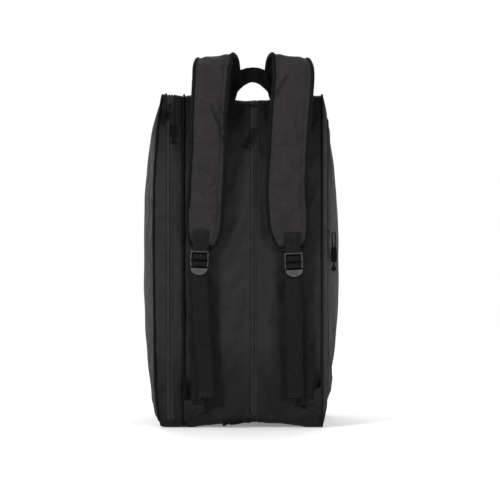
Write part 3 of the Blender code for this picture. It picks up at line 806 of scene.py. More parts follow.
def make_rim():
    """Every fabric panel of the rim. The base's two panels are held still by a cap of 0."""
    left_edge = constant(LEFT_INNER_SEAM_X - PIPING_HALF)
    both, start, end = (True, True), (True, False), (False, True)
    before_zip, after_zip = constant(MAIN_ZIP_X - FOLD_X), constant(MAIN_ZIP_X + FOLD_X)
    before_left, after_left = constant(LEFT_ZIP_X - FOLD_X), constant(LEFT_ZIP_X + FOLD_X)
    rows = (  # name, run, its two sides, seed, lift, sealed sides, tucked ends, CAD node, cloth's cap
        ("rear_left", BACK_RUN, MAIN_LEFT, before_zip, 1.0, FOLD_LIFT, start, start, "panel", 0.0032),
        ("rear_right", BACK_RUN, after_zip, MAIN_RIGHT, 2.0, FOLD_LIFT, end, start, "panel", 0.0032),
        ("top", TOP_RUN, MAIN_LEFT, MAIN_RIGHT, 3.0, FOLD_LIFT, both, both, "panel", 0.0032),
        ("front", FRONT_RUN, MAIN_LEFT, MAIN_RIGHT, 4.0, FOLD_LIFT, both, both, "panel", 0.0032),
        ("left_inner", UPPER_RUN, after_left, left_edge, 5.0, 0.0010, end, start, "gusset", 0.0016),
        ("left_outer", UPPER_RUN, outer_seam, before_left, 6.0, 0.0010, start, start, "gusset", 0.0016),
        ("left_base", LEFT_BASE_RUN, left_seam, left_edge, 7.0, 0.0, both, end, "panel", 0.0),
        ("base", BASE_RUN, MAIN_LEFT, MAIN_RIGHT, 8.0, 0.0, both, end, "panel", 0.0),
    )
    for name, indices, low, high, seed, lift, sealed, ends, node, cap in rows:
        made = rim_cover(f"{name}_cover", indices, low, high, seed, lift, sealed, ends)
        if cap == 0.0:
            flatten(made[0])
        covers[f"{name}_cover"] = finish_cover(made, rim_body(name), [f"{name}_{node}"], cap)


def flatten(piece):
    """Nothing of the base sinks into the floor."""
    for vertex in piece.data.vertices:
        vertex.co.z = max(vertex.co.z, 0.0)


make_rim()


# ---------------------------------------------------------------- the side panels


def along_run(indices, count):
    """count + 1 points spread evenly along a run of the outline."""
    points = [OUTLINE[i][0] for i in indices]
    lengths = [0.0]
    for a, b in zip(points, points[1:]):
        lengths.append(lengths[-1] + (b - a).length)
    made, k = [], 0
    for n in range(count + 1):
        wanted = lengths[-1] * n / count
        while k < len(points) - 2 and lengths[k + 1] < wanted:
            k += 1
        t = (wanted - lengths[k]) / max(lengths[k + 1] - lengths[k], 1e-9)
        made.append(points[k].lerp(points[k + 1], min(1.0, t)))
    return made


def side_grid(scale, columns=68, rows=118):
    """Rows of (y, z) points that fill the side view, scaled about its middle."""
    lower_back = (CORNERS[0][0] + CORNERS[0][1]) // 2
    upper_front = (CORNERS[4][0] + CORNERS[4][1]) // 2
    upper_back = (CORNERS[5][0] + CORNERS[5][1]) // 2
    bottom = along_run(run(lower_back, BASE_END), columns)
    front = along_run(run(BASE_END, upper_front), rows)
    top = along_run(run(upper_front, upper_back), columns)[::-1]
    back = along_run(run(upper_back, lower_back), rows)[::-1]
    made = []
    for r in range(rows + 1):
        v = r / rows
        row = []
        for c in range(columns + 1):
            u = c / columns
            point = bottom[c] * (1 - v) + top[c] * v + back[r] * (1 - u) + front[r] * u
            lower = bottom[0] * (1 - u) * (1 - v) + bottom[-1] * u * (1 - v)
            point -= lower + top[0] * (1 - u) * v + top[-1] * u * v
            row.append(CENTRE + (point - CENTRE) * scale)
        made.append(row)
    return made


def side_x(y, z, side, seed):
    """How far out a side panel stands at a place of the side view."""
    share = share_of(y, z)
    edge = left_seam(z) - PIPING_HALF if side < 0 else RIGHT_EDGE_X - 0.003
    full = edge + (side * SIDE_X - edge) * (1 - share * share)
    slack = 0.0014 * rough(y / 0.10, z / 0.12, 0, seed) + 0.0011 * rough(y / 0.030, z / 0.05, 0, seed + 4)
    return full + side * (slack * smooth(1.0, 0.75, share))


def side_cover(name, scale_at, side, seed, foot_z=0.0):
    """A side panel, or the middle of one, crowned outwards. scale_at gives its share by height."""
    rows = []
    for row in side_grid(1.0):
        made = []
        for place in row:
            scale = scale_at(CENTRE.y + (place[1] - CENTRE.y) * FLAP_SHARE)
            y, z = CENTRE + (place - CENTRE) * scale
            share = share_of(y, z)
            distance = max(0.0, (scale - share) * 0.18)
            x = side_x(y, z, side, seed) + side * (tucked(distance) + seam_pucker(distance, y + z, seed))
            made.append((x, y, z + foot_z * smooth(0.06, 0.0, z)))
        rows.append(made)
    piece = new_piece(name, grid_of(rows), [SHELL, LINING])
    face_away(piece)
    return piece, len(rows), len(rows[0])


def side_border(name, inner_at, side, seed, steps=10):
    """The border of a side panel, from its seam in to a share of the way out that depends on height."""
    rows = []
    for k in range(steps + 1):
        row = []
        for outline_point, _ in OUTLINE:
            last = inner_at(CENTRE.y + (outline_point.y - CENTRE.y) * FLAP_SHARE)
            share = 1.0 + (last - 1.0) * k / steps
            y, z = CENTRE + (outline_point - CENTRE) * share
            near = min(1.0 - share, share - last) * 0.17
            x = side_x(y, z, side, seed) + side * (tucked(near) + seam_pucker(near, y + z, seed))
            row.append((x, y, z))
        rows.append(row)
    piece = new_piece(name, grid_of(rows, wrap_points=True), [SHELL, LINING])
    face_away(piece)
    return piece


def above(share, foot_z):
    """The run of the outline whose points stand above foot_z once drawn in to share."""
    wanted = [CENTRE.y + (p.y - CENTRE.y) * share > foot_z for p, _ in OUTLINE]
    first = next(i for i in range(COUNT) if wanted[i] and not wanted[i - 1])
    last = next(i for i in range(COUNT) if wanted[i] and not wanted[(i + 1) % COUNT])
    return run(first, last)


def flap_gap(z):
    """Half the gap round the pocket's zip, as a share. Below the flap's hinge the panels meet in a seam."""
    return 0.0004 + 0.0160 * smooth(FLAP_FOOT_Z - 0.010, FLAP_FOOT_Z + 0.004, z)


def make_sides():
    left = side_cover("left_side_cover", constant(1.0), -1, 11.0, foot_z=LEFT_FOOT_Z)
    covers["left_side_cover"] = finish_cover(
        left, "left_flap", ["left_side_panel"], cap=0.0024, swell=0.013, pressure=0.5
    )

    border = side_border("right_border_cover", lambda z: FLAP_SHARE + flap_gap(z), 1, 12.0)
    thicken(border)
    mount(border, "bag", "shell_fabric", "right_border_panel")
    covers["right_border_cover"] = border

    piece, row_count, column_count = side_cover(
        "right_pocket_cover", lambda z: FLAP_SHARE - flap_gap(z), 1, 12.0
    )
    settle(piece, rim_hold(row_count, column_count), 0.0024, 0.013, pressure=0.5)
    thicken(piece)
    apply_modifiers(piece)
    refine(piece)
    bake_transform(piece)
    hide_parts("right_lower_panel", "right_flap_panel")
    covers["right_pocket_cover"] = piece


make_sides()


# ---------------------------------------------------------------- small repeated shapes


def dash(start, end, radius):
    """A short thread from start to end, pointed at both ends."""
    start, end = Vector(start), Vector(end)
    side = (end - start).orthogonal().normalized() * radius
    up = (end - start).normalized().cross(side)
    points = [start]
    for share in (0.2, 0.8):
        middle = start.lerp(end, share)
        points.extend([middle + side, middle + up, middle - side, middle - up])
    points.append(end)
    faces = [(0, 2, 1), (0, 3, 2), (0, 4, 3), (0, 1, 4)]
    faces += [(1, 2, 6, 5), (2, 3, 7, 6), (3, 4, 8, 7), (4, 1, 5, 8)]
    faces += [(5, 6, 9), (6, 7, 9), (7, 8, 9), (8, 5, 9)]
    return [tuple(point) for point in points], faces


def spaced(line, pitch):
    """Points and outward directions along a line, pitch apart, from its own (point, outward) pairs."""
    made, wanted, gone = [], 0.0, 0.0
    for (a, out_a), (b, out_b) in zip(line, line[1:]):
        a, b, out_a, out_b = Vector(a), Vector(b), Vector(out_a), Vector(out_b)
        length = (b - a).length
        while wanted <= gone + length and length > 0:
            t = (wanted - gone) / length
            made.append((a.lerp(b, t), out_a.lerp(out_b, t).normalized()))
            wanted += pitch
        gone += length
    return made


def stitches(name, surface, lines, radius=0.00042):
    """Rows of stitches laid on a finished surface along lines of (point, outward) pairs."""
    tree = surface_tree(surface)
    made = []
    for line in lines:
        for (place, out), (after, _) in zip(spaced(line, STITCH_PITCH), spaced(line, STITCH_PITCH)[1:]):
            along = (after - place).normalized() * STITCH_LENGTH
            ends = []
            for point in (place, place + along):
                hit, _, _, _ = tree.ray_cast(point + out * 0.012, -out, 0.024)
                if hit is not None:
                    ends.append(hit + out * radius * 0.3)
            if len(ends) == 2 and (ends[1] - ends[0]).length < 2 * STITCH_LENGTH:
                made.append(dash(ends[0], ends[1], radius))
    return new_piece(name, combined(made), THREAD)


def rim_line(indices, x):
    """A line along a run of the rim at a place across it, which may be a function of height."""
    at = x if callable(x) else constant(x)
    line = []
    for index in indices:
        place, normal = OUTLINE[index]
        line.append(((at(place.y), place.x, place.y), (0, normal.x, normal.y)))
    return line


def side_line(indices, share, side):
    """The same on a side panel, at a share of the way out."""
    line = []
    for index in indices:
        y, z = CENTRE + (OUTLINE[index][0] - CENTRE) * share
        line.append(((side_x(y, z, side, 12.0), y, z), side_normal(y, z, side)))
    return line


def side_normal(y, z, side, step=0.004):
    slope_y = (side_x(y + step, z, side, 12.0) - side_x(y - step, z, side, 12.0)) / (2 * step)
    slope_z = (side_x(y, z + step, side, 12.0) - side_x(y, z - step, side, 12.0)) / (2 * step)
    return Vector((1, -slope_y, -slope_z)).normalized() * side


# ---------------------------------------------------------------- pipings


def piping(name, indices, seam, body, node, closed, radius=0.0017):
    """The bound seam between two panels: a ribbed roll that follows the rim."""
    path = []
    for order, index in enumerate(indices):
        place, normal = OUTLINE[index]
        wobble = 0.00035 * rough(order * 0.21, 0, 0, 2.7)
        out = -0.0007 + 0.0003 * rough(order * 0.33, 0, 0, 9.2)
        z = place.y + normal.y * out
        path.append((seam(place.y) + wobble, place.x + normal.x * out, max(z, radius)))
    sizes = [1 + 0.10 * rough(k * 0.37, 0, 0, 4.4) for k in range(len(path))]
    roll = new_piece(name, sweep(path, round_profile(radius, 10), (1, 0, 0), closed, sizes), BINDING)
    close_faces(roll)
    mount(roll, body, "binding", node)


def make_pipings():
    piping("left_outer_roll", UPPER_RUN, left_seam, "left_flap", "left_outer_piping", False)
    inner = constant(LEFT_INNER_SEAM_X)
    piping("left_inner_roll", WHOLE_RUN, inner, "bag", "left_inner_piping", True)
    piping("right_roll", WHOLE_RUN, constant(RIGHT_SEAM_X), "bag", "right_piping", True)


# ---------------------------------------------------------------- zips

COIL_PITCH = 0.0019
TAPE_PROFILE = ((0.0003, -0.0008), (0.0006, 0.0001), (0.0024, 0.0002), (0.0031, -0.0004), (0.0068, -0.0006))


def tape_and_coil(name, line, across, body, node):
    """Half of a closed zip along a line of (point, outward) pairs: its tape, and the ribs of its coil."""
    rows, ribs = [], []
    for (place, out), side in zip(line, across):
        place, out, side = Vector(place), Vector(out), Vector(side)
        rows.append([place + side * u + out * (v - ZIP_SINK) for u, v in TAPE_PROFILE])
    sides = [(place, side) for (place, _), side in zip(line, across)]
    for (place, out), (_, side) in zip(spaced(line, COIL_PITCH), spaced(sides, COIL_PITCH)):
        near = place + side * 0.0006 + out * (0.0001 - ZIP_SINK)
        ribs.append(dash(near, near + side * 0.0021, 0.00052))
    tape = new_piece(name, grid_of(rows), ZIP_TAPE)
    face_away(tape)
    thicken(tape, 0.0010, inner=0)
    coil = new_piece(f"{name}_coil", combined(ribs), COIL)
    mount(tape, body, "zip_tape", node)
    mount(coil, body, "zip_tape")


def rim_zip(name, indices, x, side, body, node):
    line = []
    for index in indices:
        place, normal = OUTLINE[index]
        out = back_relief(x, place.y) * smooth(0.80, 0.99, -normal.x)
        z = raised(x, place.y + normal.y * out + slump(x, place.y))
        line.append(((x, place.x + normal.x * out, z), (0, normal.x, normal.y)))
    tape_and_coil(name, line, [(side, 0, 0)] * len(line), body, node)


def pocket_zip(name, side, body, node):
    indices = above(FLAP_SHARE, FLAP_FOOT_Z)
    line = side_line(indices, FLAP_SHARE, 1)
    across = []
    for index in indices:
        y, z = CENTRE + (OUTLINE[index][0] - CENTRE) * FLAP_SHARE
        normal = side_normal(y, z, 1)
        arm = Vector((0, *(OUTLINE[index][0] - CENTRE))).normalized()
        across.append((arm - normal * arm.dot(normal)).normalized() * side)
    tape_and_coil(name, line, across, body, node)


def make_rim_roll():
    """The puckered binding across the carrying side just under its top edge."""
    first, last, rise, steps = LEFT_INNER_SEAM_X + 0.003, RIGHT_SEAM_X - 0.003, 0.0030, 90
    rows = []
    for k in range(steps + 1):
        x = first + (last - first) * k / steps
        middle = 0.5245 + slump(x, 0.5245) + 0.0016 * rough(x / 0.02, 0, 0, 2.2)
        out = back_relief(x, 0.505) - 0.0008
        pucker = 0.0016 * rough(x / 0.0045, 0, 0, 7.7) + 0.0005 * math.sin(x / 0.0011)
        row = []
        for n in range(12):
            angle = 2 * math.pi * n / 12
            thick = 0.0016 + pucker * (0.5 + 0.5 * math.sin(angle))
            row.append((x, BACK_Y - out - thick * math.cos(angle), middle + rise * math.sin(angle)))
        rows.append(row)
    roll = new_piece("rim_roll", grid_of(rows, wrap_points=True, cap=True), RIM)
    close_faces(roll)
    refine(roll)
    mount(roll, "bag", "binding")


def make_zips():
    rim_zip("main_zip_left", BACK_RUN, MAIN_ZIP_X, -1, "bag", "main_zip_left_half")
    rim_zip("main_zip_right", BACK_RUN, MAIN_ZIP_X, 1, "bag", "main_zip_right_half")
    rim_zip("left_zip_outer", UPPER_RUN, LEFT_ZIP_X, -1, "left_flap", "left_zip_outer_half")
    rim_zip("left_zip_inner", UPPER_RUN, LEFT_ZIP_X, 1, "bag", "left_zip_inner_half")
    pocket_zip("pocket_zip_fixed", 1, "bag", "right_zip_fixed_half")
    pocket_zip("pocket_zip_flap", -1, "right_flap", "right_zip_flap_half")


def make_seam_stitches():
    """The rows of stitches beside the zips and seams."""
    rows = (
        ("rear_left", BACK_RUN, (MAIN_ZIP_X - 0.0066, MAIN_ZIP_X - 0.0119)),
        ("rear_right", BACK_RUN, (MAIN_ZIP_X + 0.0066, MAIN_ZIP_X + 0.0119)),
        ("left_inner", UPPER_RUN, (LEFT_ZIP_X + 0.0064, LEFT_ZIP_X + 0.0112)),
        ("left_outer", UPPER_RUN, (LEFT_ZIP_X - 0.0064, LEFT_ZIP_X - 0.0112)),
    )
    for name, indices, places in rows:
        lines = [rim_line(indices, x) for x in places]
        made = stitches(f"{name}_stitches", covers[f"{name}_cover"], lines)
        mount(made, rim_body(name), "shell_fabric")
    fixed = [side_line(above(FLAP_SHARE, FLAP_FOOT_Z), FLAP_SHARE + 0.045, 1)]
    mount(stitches("pocket_border_stitches", covers["right_border_cover"], fixed), "bag", "shell_fabric")
    flap = [side_line(above(FLAP_SHARE, FLAP_FOOT_Z + 0.012), FLAP_SHARE - 0.045, 1)]
    mount(stitches("pocket_flap_stitches", covers["right_pocket_cover"], flap), "right_flap", "shell_fabric")


make_pipings()
make_rim_roll()
make_zips()
make_seam_stitches()


# ---------------------------------------------------------------- straps

STRAP_HALF_THICK = 0.0058
EDGE_HALF_WIDTH, EDGE_HALF_THICK = 0.0033, 0.0046
STITCHED_GROOVE = 0.0020
CREASE_SHARE = 2.1  # how deep a crease is modelled, as a share of its depth in CREASES
CROWN_TILT = 0.11  # a strap's fold falls away from the bag's middle by this slope
WEB_WIDTH = 0.0255
BUCKLE_Y = -0.1525
LEG = (  # (shift towards the bag's middle, y, z, width) of a strap's sewn leg, up to its fold
    (0.006, -0.1160, 0.5190, 0.052),
    (0.012, -0.1195, 0.5450, 0.056),
    (0.014, -0.1255, 0.5680, 0.060),
    (0.011, -0.1345, 0.5830, 0.063),
    (0.004, -0.1450, 0.5880, 0.063),
)
PAD_DEPTH = table_curve(
    (
        (0.285, -0.1455),
        (0.344, -0.1500),
        (0.445, -0.1580),
        (0.520, -0.1630),
        (0.560, -0.1620),
        (0.580, -0.1560),
    )
)
# Each strap: the direction of the bag's middle, (z, x, width) of its pad from the fold down, the place
# (x, z) of its lower end, how far the buckle stands to the right of that and the tail's foot to the right
# of the buckle, and its anchor's seam
STRAPS = {
    "left": (
        1,
        (
            (0.575, -0.0458, 0.0620),
            (0.556, -0.0470, 0.0610),
            (0.496, -0.0510, 0.0590),
            (0.445, -0.0515, 0.0600),
            (0.381, -0.0548, 0.0612),
            (0.341, -0.0575, 0.0622),
            (0.318, -0.0586, 0.0600),
            (0.303, -0.0606, 0.0530),
            (0.294, -0.0622, 0.0460),
        ),
        (-0.0620, 0.285),
        (-0.0035, 0.0105),
        LEFT_INNER_SEAM_X,
    ),
    "right": (
        -1,
        (
            (0.575, 0.0826, 0.0665),
            (0.556, 0.0833, 0.0670),
            (0.496, 0.0780, 0.0680),
            (0.445, 0.0752, 0.0670),
            (0.381, 0.0727, 0.0694),
            (0.341, 0.0746, 0.0700),
            (0.318, 0.0766, 0.0670),
            (0.302, 0.0794, 0.0585),
            (0.292, 0.0812, 0.0500),
        ),
        (0.0815, 0.282),
        (0.0015, 0.0045),
        RIGHT_SEAM_X,
    ),
}
# Creases across each pad's face: from (x, z) to (x, z), depth and width
CREASES = {
    "left": (
        (-0.072, 0.524, -0.054, 0.512, 0.0024, 0.0026),
        (-0.046, 0.514, -0.028, 0.474, 0.0028, 0.0034),
        (-0.034, 0.474, -0.026, 0.458, 0.0022, 0.0024),
        (-0.072, 0.466, -0.056, 0.450, 0.0016, 0.0028),
        (-0.076, 0.418, -0.050, 0.404, 0.0014, 0.0036),
        (-0.058, 0.376, -0.034, 0.392, 0.0013, 0.0030),
        (-0.080, 0.352, -0.062, 0.338, 0.0012, 0.0030),
    ),
    "right": (
        (0.054, 0.526, 0.076, 0.560, 0.0030, 0.0030),
        (0.072, 0.548, 0.094, 0.554, 0.0014, 0.0030),
        (0.050, 0.448, 0.068, 0.436, 0.0015, 0.0028),
        (0.078, 0.420, 0.100, 0.404, 0.0013, 0.0032),
        (0.048, 0.372, 0.066, 0.360, 0.0013, 0.0028),
        (0.080, 0.342, 0.100, 0.350, 0.0012, 0.0030),
    ),
}


STRAP_MIDDLE = {"left": -0.0445, "right": 0.0815}  # of each sewn leg


def strap_rows(side):
    """The strap's middle line from its sewn foot over the fold: place, sideways, outward and half width."""
    inward, pad, _, _, _ = STRAPS[side]
    middle = STRAP_MIDDLE[side]
    stations = [(middle + inward * shift, y, z, width) for shift, y, z, width in LEG]
    stations += [(x, PAD_DEPTH(z), z, width) for z, x, width in pad]
    rows = through(stations, 0.0042)
    made = []
    frames_here = frames_along([row[:3] for row in rows], (1, 0, 0))
    for (place, across, out), row in zip(frames_here, rows):
        folded = smooth(0.55, 0.585, place.z)
        tilt = Matrix.Rotation(math.atan(CROWN_TILT) * inward * -folded, 3, Vector((0, 1, 0)))
        made.append((place, tilt @ across, tilt @ out, row[3] / 2))
    return made


def field_height(share):
    """The padding's half thickness across a strap, from its middle (0) to its edge (1)."""
    return 0.0022 + (STRAP_HALF_THICK - 0.0022) * (1 - abs(share) ** 5)


def make_strap_field(side):
    """The padded field of a strap: cloth on the outside and spacer mesh on the side that is worn."""
    rows, held, across_steps = [], [], 23
    shares = [2 * k / across_steps - 1 for k in range(across_steps + 1)]
    stations = strap_rows(side)
    for r, (place, across, out, half) in enumerate(stations):
        reach = half - EDGE_HALF_WIDTH * 1.5
        outer = [place + across * reach * s + out * field_height(s) for s in shares]
        inner = [place + across * reach * s - out * field_height(s) * 0.85 for s in reversed(shares)]
        rows.append(outer + inner)
        at_end = r < 3 or r > len(stations) - 4
        held.extend(1.0 if at_end or abs(s) > 0.9 else 0.0 for s in shares + shares[::-1])
    shape = grid_of(rows, wrap_points=True, cap=True)
    field = new_piece(f"{side}_strap_field", shape, [STRAP, NET])
    close_faces(field)
    count = len(rows[0])
    for face in field.data.polygons:
        first = min(face.vertices) % count
        if len(face.vertices) == 4 and first > across_steps - 1:
            face.material_index = 1
    settle(field, held, 0.0026, swell=0.012, gravity=0.0, pressure=4.0, frames=18)
    for index, vertex in enumerate(field.data.vertices):
        row, column = divmod(index, count)
        if column < len(shares):
            groove = STITCHED_GROOVE * bell(abs(shares[column]) - 0.80, 0.07)
            vertex.co -= stations[row][2] * groove
        if vertex.co.y < PAD_DEPTH(vertex.co.z):
            vertex.co.y += crease_depth(side, vertex.co.x, vertex.co.z)
    field.data.update()
    refine(field)
    apply_modifiers(field)
    return field


def crease_depth(side, x, z):
    """How far a pad's face is pressed in by its creases and its own unevenness."""
    depth = 0.0018 * rough(x / 0.020, 0, z / 0.030, 6.6) + 0.0010 * rough(x / 0.009, 0, z / 0.012, 1.6)
    for x0, z0, x1, z1, deep, wide in CREASES[side]:
        start, along = Vector((x0, z0)), Vector((x1 - x0, z1 - z0))
        t = min(1.0, max(0.0, (Vector((x, z)) - start).dot(along) / along.length_squared))
        away = (Vector((x, z)) - start - along * t).length
        section = bell(away, wide) - 0.45 * bell(away - 1.6 * wide, wide)
        depth += CREASE_SHARE * deep * section * math.sin(math.pi * (0.15 + 0.7 * t))
    return depth


def make_strap_edge(side):
    """The rolled binding: down one edge of the strap, round its lower end and up the other edge."""
    stations = strap_rows(side)
    path = [(p - a * (h - EDGE_HALF_WIDTH), -a, o) for p, a, o, h in stations]
    place, across, out, half = stations[-1]
    down = (place - stations[-2][0]).normalized()
    steps = 12
    for k in range(1, steps):
        turn = math.pi * k / steps
        reach = -across * math.cos(turn) + down * math.sin(turn) * 0.40
        lean = (-across * math.cos(turn) + down * math.sin(turn)).normalized()
        path.append((place + reach * (half - EDGE_HALF_WIDTH), lean, out))
    path.extend((p + a * (h - EDGE_HALF_WIDTH), a, o) for p, a, o, h in reversed(stations))
    rows = []
    for k, (place, lean, out) in enumerate(path):
        wave = 1 + 0.10 * rough(k * 0.31, 0, 0, 3.3)
        row = []
        for turn in range(12):
            angle = 2 * math.pi * turn / 12
            u, v = math.cos(angle), math.sin(angle)
            row.append(place + lean * u * EDGE_HALF_WIDTH * wave + out * v * EDGE_HALF_THICK * wave)
        rows.append(row)
    edge = new_piece(f"{side}_strap_edge", grid_of(rows, wrap_points=True, cap=True), BINDING)
    close_faces(edge)
    refine(edge)
    apply_modifiers(edge)
    return edge


def make_strap(side):
    """A strap that is sewn to the bag and bends where it folds over."""
    field, edge = make_strap_field(side), make_strap_edge(side)
    lines = []
    for sign in (-1, 1):
        line = []
        for place, across, out, half in strap_rows(side):
            if place.y < -0.150:
                line.append((place + across * sign * (half - 0.0095), out))
        lines.append(line)
    rows = stitches(f"{side}_strap_stitches", field, lines)
    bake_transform(field)
    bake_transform(edge)
    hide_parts(f"{side}_yoke", f"{side}_shoulder_pad")
    mount(rows, f"{side}_strap", "strap_fabric")


# ---------------------------------------------------------------- webbings and buckles


def webbing(name, stations, thickness, spacing=0.004, ripple=0.0003, width=WEB_WIDTH):
    """A flat webbing through (x, y, z) places, slightly uneven, with rounded selvedges."""
    rows = []
    half, thick = width / 2, thickness / 2
    profile = (
        (-half, 0.0),
        (-half + 0.0006, thick),
        (-half * 0.5, thick),
        (0.0, thick),
        (half * 0.5, thick),
        (half - 0.0006, thick),
        (half, 0.0),
        (half - 0.0006, -thick),
        (0.0, -thick),
        (-half + 0.0006, -thick),
    )
    path = [row[:3] for row in through(stations, spacing)]
    for k, (place, side, out) in enumerate(frames_along(path, (1, 0, 0))):
        wave = ripple * rough(k * 0.16, 0, 0, 7.5)
        twist = Matrix.Rotation(0.05 * rough(k * 0.06, 0, 0, 1.9), 3, side.cross(out))
        rows.append([place + twist @ (side * u + out * (v + wave)) for u, v in profile])
    made = new_piece(name, grid_of(rows, wrap_points=True, cap=True), WEBBING)
    close_faces(made)
    return made


def cross_rows(x, y, heights, half=0.0105):
    """Lines of stitches straight across a webbing."""
    return [[((x - half, y, z), (0, -1, 0)), ((x + half, y, z), (0, -1, 0))] for z in heights]


def make_tab(side, foot_x, foot_z, top):
    """The webbing sewn on a pad's lower end, which turns round the buckle's top rod."""
    surface = PAD_DEPTH(foot_z + 0.015) - STRAP_HALF_THICK
    stations = [
        (foot_x, surface - 0.0022, foot_z + 0.031),
        (foot_x, surface - 0.0022, foot_z + 0.016),
        (foot_x, surface - 0.0012, foot_z + 0.007),
    ]
    bend = 0.0026
    for turn in (-20, 20, 60, 100, 140, 180, 215):
        angle = math.radians(turn)
        lean = (BUCKLE_Y - math.cos(angle) * bend, top - math.sin(angle) * bend)
        stations.append((foot_x, lean[0], lean[1]))
    stations.append((foot_x, PAD_DEPTH(foot_z) + 0.0010, foot_z + 0.008))
    tab = webbing(f"{side}_tab", stations, 0.0013, spacing=0.0014)
    heights = [foot_z + height for height in (0.029, 0.0262, 0.0234, 0.009)]
    rows = stitches(f"{side}_tab_stitches", tab, cross_rows(foot_x, surface - 0.002, heights), 0.0005)
    mount(tab, f"{side}_strap", "webbing", f"{side}_webbing_tab")
    mount(rows, f"{side}_strap", "webbing")


def half_turn(steps):
    """Angles of the lower half of a circle."""
    return [-math.pi + math.pi * k / steps for k in range(steps + 1)]


def make_buckle(side, x, top, tilt):
    """A ladder-lock buckle: side rails, three cross bars, and the tab that lifts it. Its near-black bars are
    painted shadow: a rod just under the top bar stands for that bar's shadow, and the two lower cross bars
    are darkened for the shadow lines they show.
    """
    rail_x, rail, depth = 0.0134, 0.0010, 0.0019
    oval = round_profile(rail, 10, flat=depth / rail)
    parts, bars = [], []
    for sign in (-1, 1):
        path = [(sign * rail_x, 0, 0.0004), (sign * rail_x, 0, -0.010), (sign * rail_x, 0.0006, -0.020)]
        path.append((sign * (rail_x - 0.0008), 0.0004, -0.0275))
        parts.append(sweep([row[:3] for row in through(path, 0.003)], oval, (1, 0, 0)))
    for z, radius, out, group in (
        (0.0, 0.0012, -0.0008, parts),
        (-0.0006, 0.0009, -0.0040, parts),
        # painted shadow: a near-black rod where the top bar's shadow falls, and the two lower cross bars
        # darkened
        (-0.0032, 0.0010, 0.0002, bars),
        (-0.0142, 0.0014, -0.0008, bars),
        (-0.0252, 0.0014, -0.0008, bars),
    ):
        bar = [(share * rail_x, out, z) for share in (-1, -0.5, 0, 0.5, 1)]
        group.append(sweep(bar, round_profile(radius, 10), (0, 0, 1)))
    bow = [(rail_x * math.cos(a), -0.0268 + 0.0110 * math.sin(a)) for a in half_turn(18)]
    plate = slab(bow, 0.0030, 0.0013)
    parts.append(placed(plate, Matrix.Translation((0, -0.0008, 0)) @ Matrix.Rotation(math.pi / 2, 4, "X")))
    for z, half in ((-0.0300, 0.0078), (-0.0320, 0.0064), (-0.0340, 0.0044)):
        parts.append(dash((-half, -0.0024, z), (half, -0.0024, z), 0.0005))
    lean = Matrix.Translation((x, BUCKLE_Y, top)) @ Matrix.Rotation(math.radians(tilt), 4, "Y")
    # The dark bars' near-black colour is painted shadow.
    rungs = new_piece(f"{side}_ladder_bars_painted_shadow", placed(combined(bars), lean), SHADOW_ACETAL)
    mount(rungs, f"{side}_buckle", "buckle_plastic")
    threaded_rows = [(x, BUCKLE_Y + 0.0016, top - depth_down) for depth_down in (0.0040, 0.0140, 0.0262)]
    threaded = webbing(f"{side}_threaded_webbing", threaded_rows, 0.0012, width=2 * rail_x - 0.0030)
    mount(threaded, f"{side}_buckle", "webbing")
    buckle = new_piece(f"{side}_ladder_lock", placed(combined(parts), lean), ACETAL)
    bevel = buckle.modifiers.new("softened", "BEVEL")
    bevel.width = 0.00025
    bevel.segments = 2
    bevel.limit_method = "ANGLE"
    mount(buckle, f"{side}_buckle", "buckle_plastic", f"{side}_buckle")


def hang_webbings(side):
    inward, _, (foot_x, foot_z), (buckle_shift, tail_shift), seam_x = STRAPS[side]
    buckle_x, top = foot_x + buckle_shift, foot_z - 0.0022
    make_tab(side, foot_x + buckle_shift * 0.5, foot_z, top)
    make_buckle(side, buckle_x, top, 2.0 if side == "left" else -3.0)

    tail_z = top - 0.0420
    tail_rows = [
        (buckle_x, BUCKLE_Y + 0.0006, tail_z + 0.0030),
        (buckle_x + 0.0008, BUCKLE_Y + 0.0008, tail_z - 0.020),
        (buckle_x + 0.0024, BUCKLE_Y + 0.0024, tail_z - 0.060),
        (buckle_x + tail_shift * 0.55, BUCKLE_Y + 0.0058, 0.125),
        (buckle_x + tail_shift, BUCKLE_Y + 0.0110, 0.0570),
        (buckle_x + tail_shift * 1.02, BUCKLE_Y + 0.0113, 0.0475),
    ]
    tail = webbing(f"{side}_tail_webbing", tail_rows, 0.0013)
    hem_rows = [
        (buckle_x + tail_shift, BUCKLE_Y + 0.0099, 0.0580),
        (buckle_x + tail_shift * 1.01, BUCKLE_Y + 0.0101, 0.0525),
        (buckle_x + tail_shift * 1.02, BUCKLE_Y + 0.0104, 0.0470),
    ]
    hem = webbing(f"{side}_tail_hem", hem_rows, 0.0016)
    hem_lines = cross_rows(buckle_x + tail_shift, BUCKLE_Y + 0.009, (0.0560, 0.0520))
    rows = stitches(f"{side}_tail_stitches", hem, hem_lines, 0.0005)
    mount(tail, f"{side}_tail", "webbing", f"{side}_tail")
    mount(hem, f"{side}_tail", "webbing")
    mount(rows, f"{side}_tail", "webbing")

    tip_x = seam_x + inward * 0.034
    lower_rows = [
        (tip_x - inward * 0.008, BACK_Y - 0.0028, 0.036),
        (tip_x - inward * 0.006, BACK_Y - 0.0050, 0.060),
        (tip_x - inward * 0.006, BACK_Y - 0.0080, 0.110),
        (buckle_x - inward * 0.0045, BUCKLE_Y + 0.0080, tail_z - 0.040),
        (buckle_x - inward * 0.0030, BUCKLE_Y + 0.0060, tail_z),
        (buckle_x, BUCKLE_Y + 0.0052, top - 0.0290),
    ]
    lower = webbing(f"{side}_lower_strap", lower_rows, 0.0014)
    mount(lower, "bag", "webbing", f"{side}_lower_webbing")


def anchor_height(base, tip, u, v):
    """The height of a point of an anchor: u runs from its seam to its tip, and v up across it."""
    return (base[0] + (base[1] - base[0]) * v) * (1 - u) + (tip[0] + (tip[1] - tip[0]) * v) * u


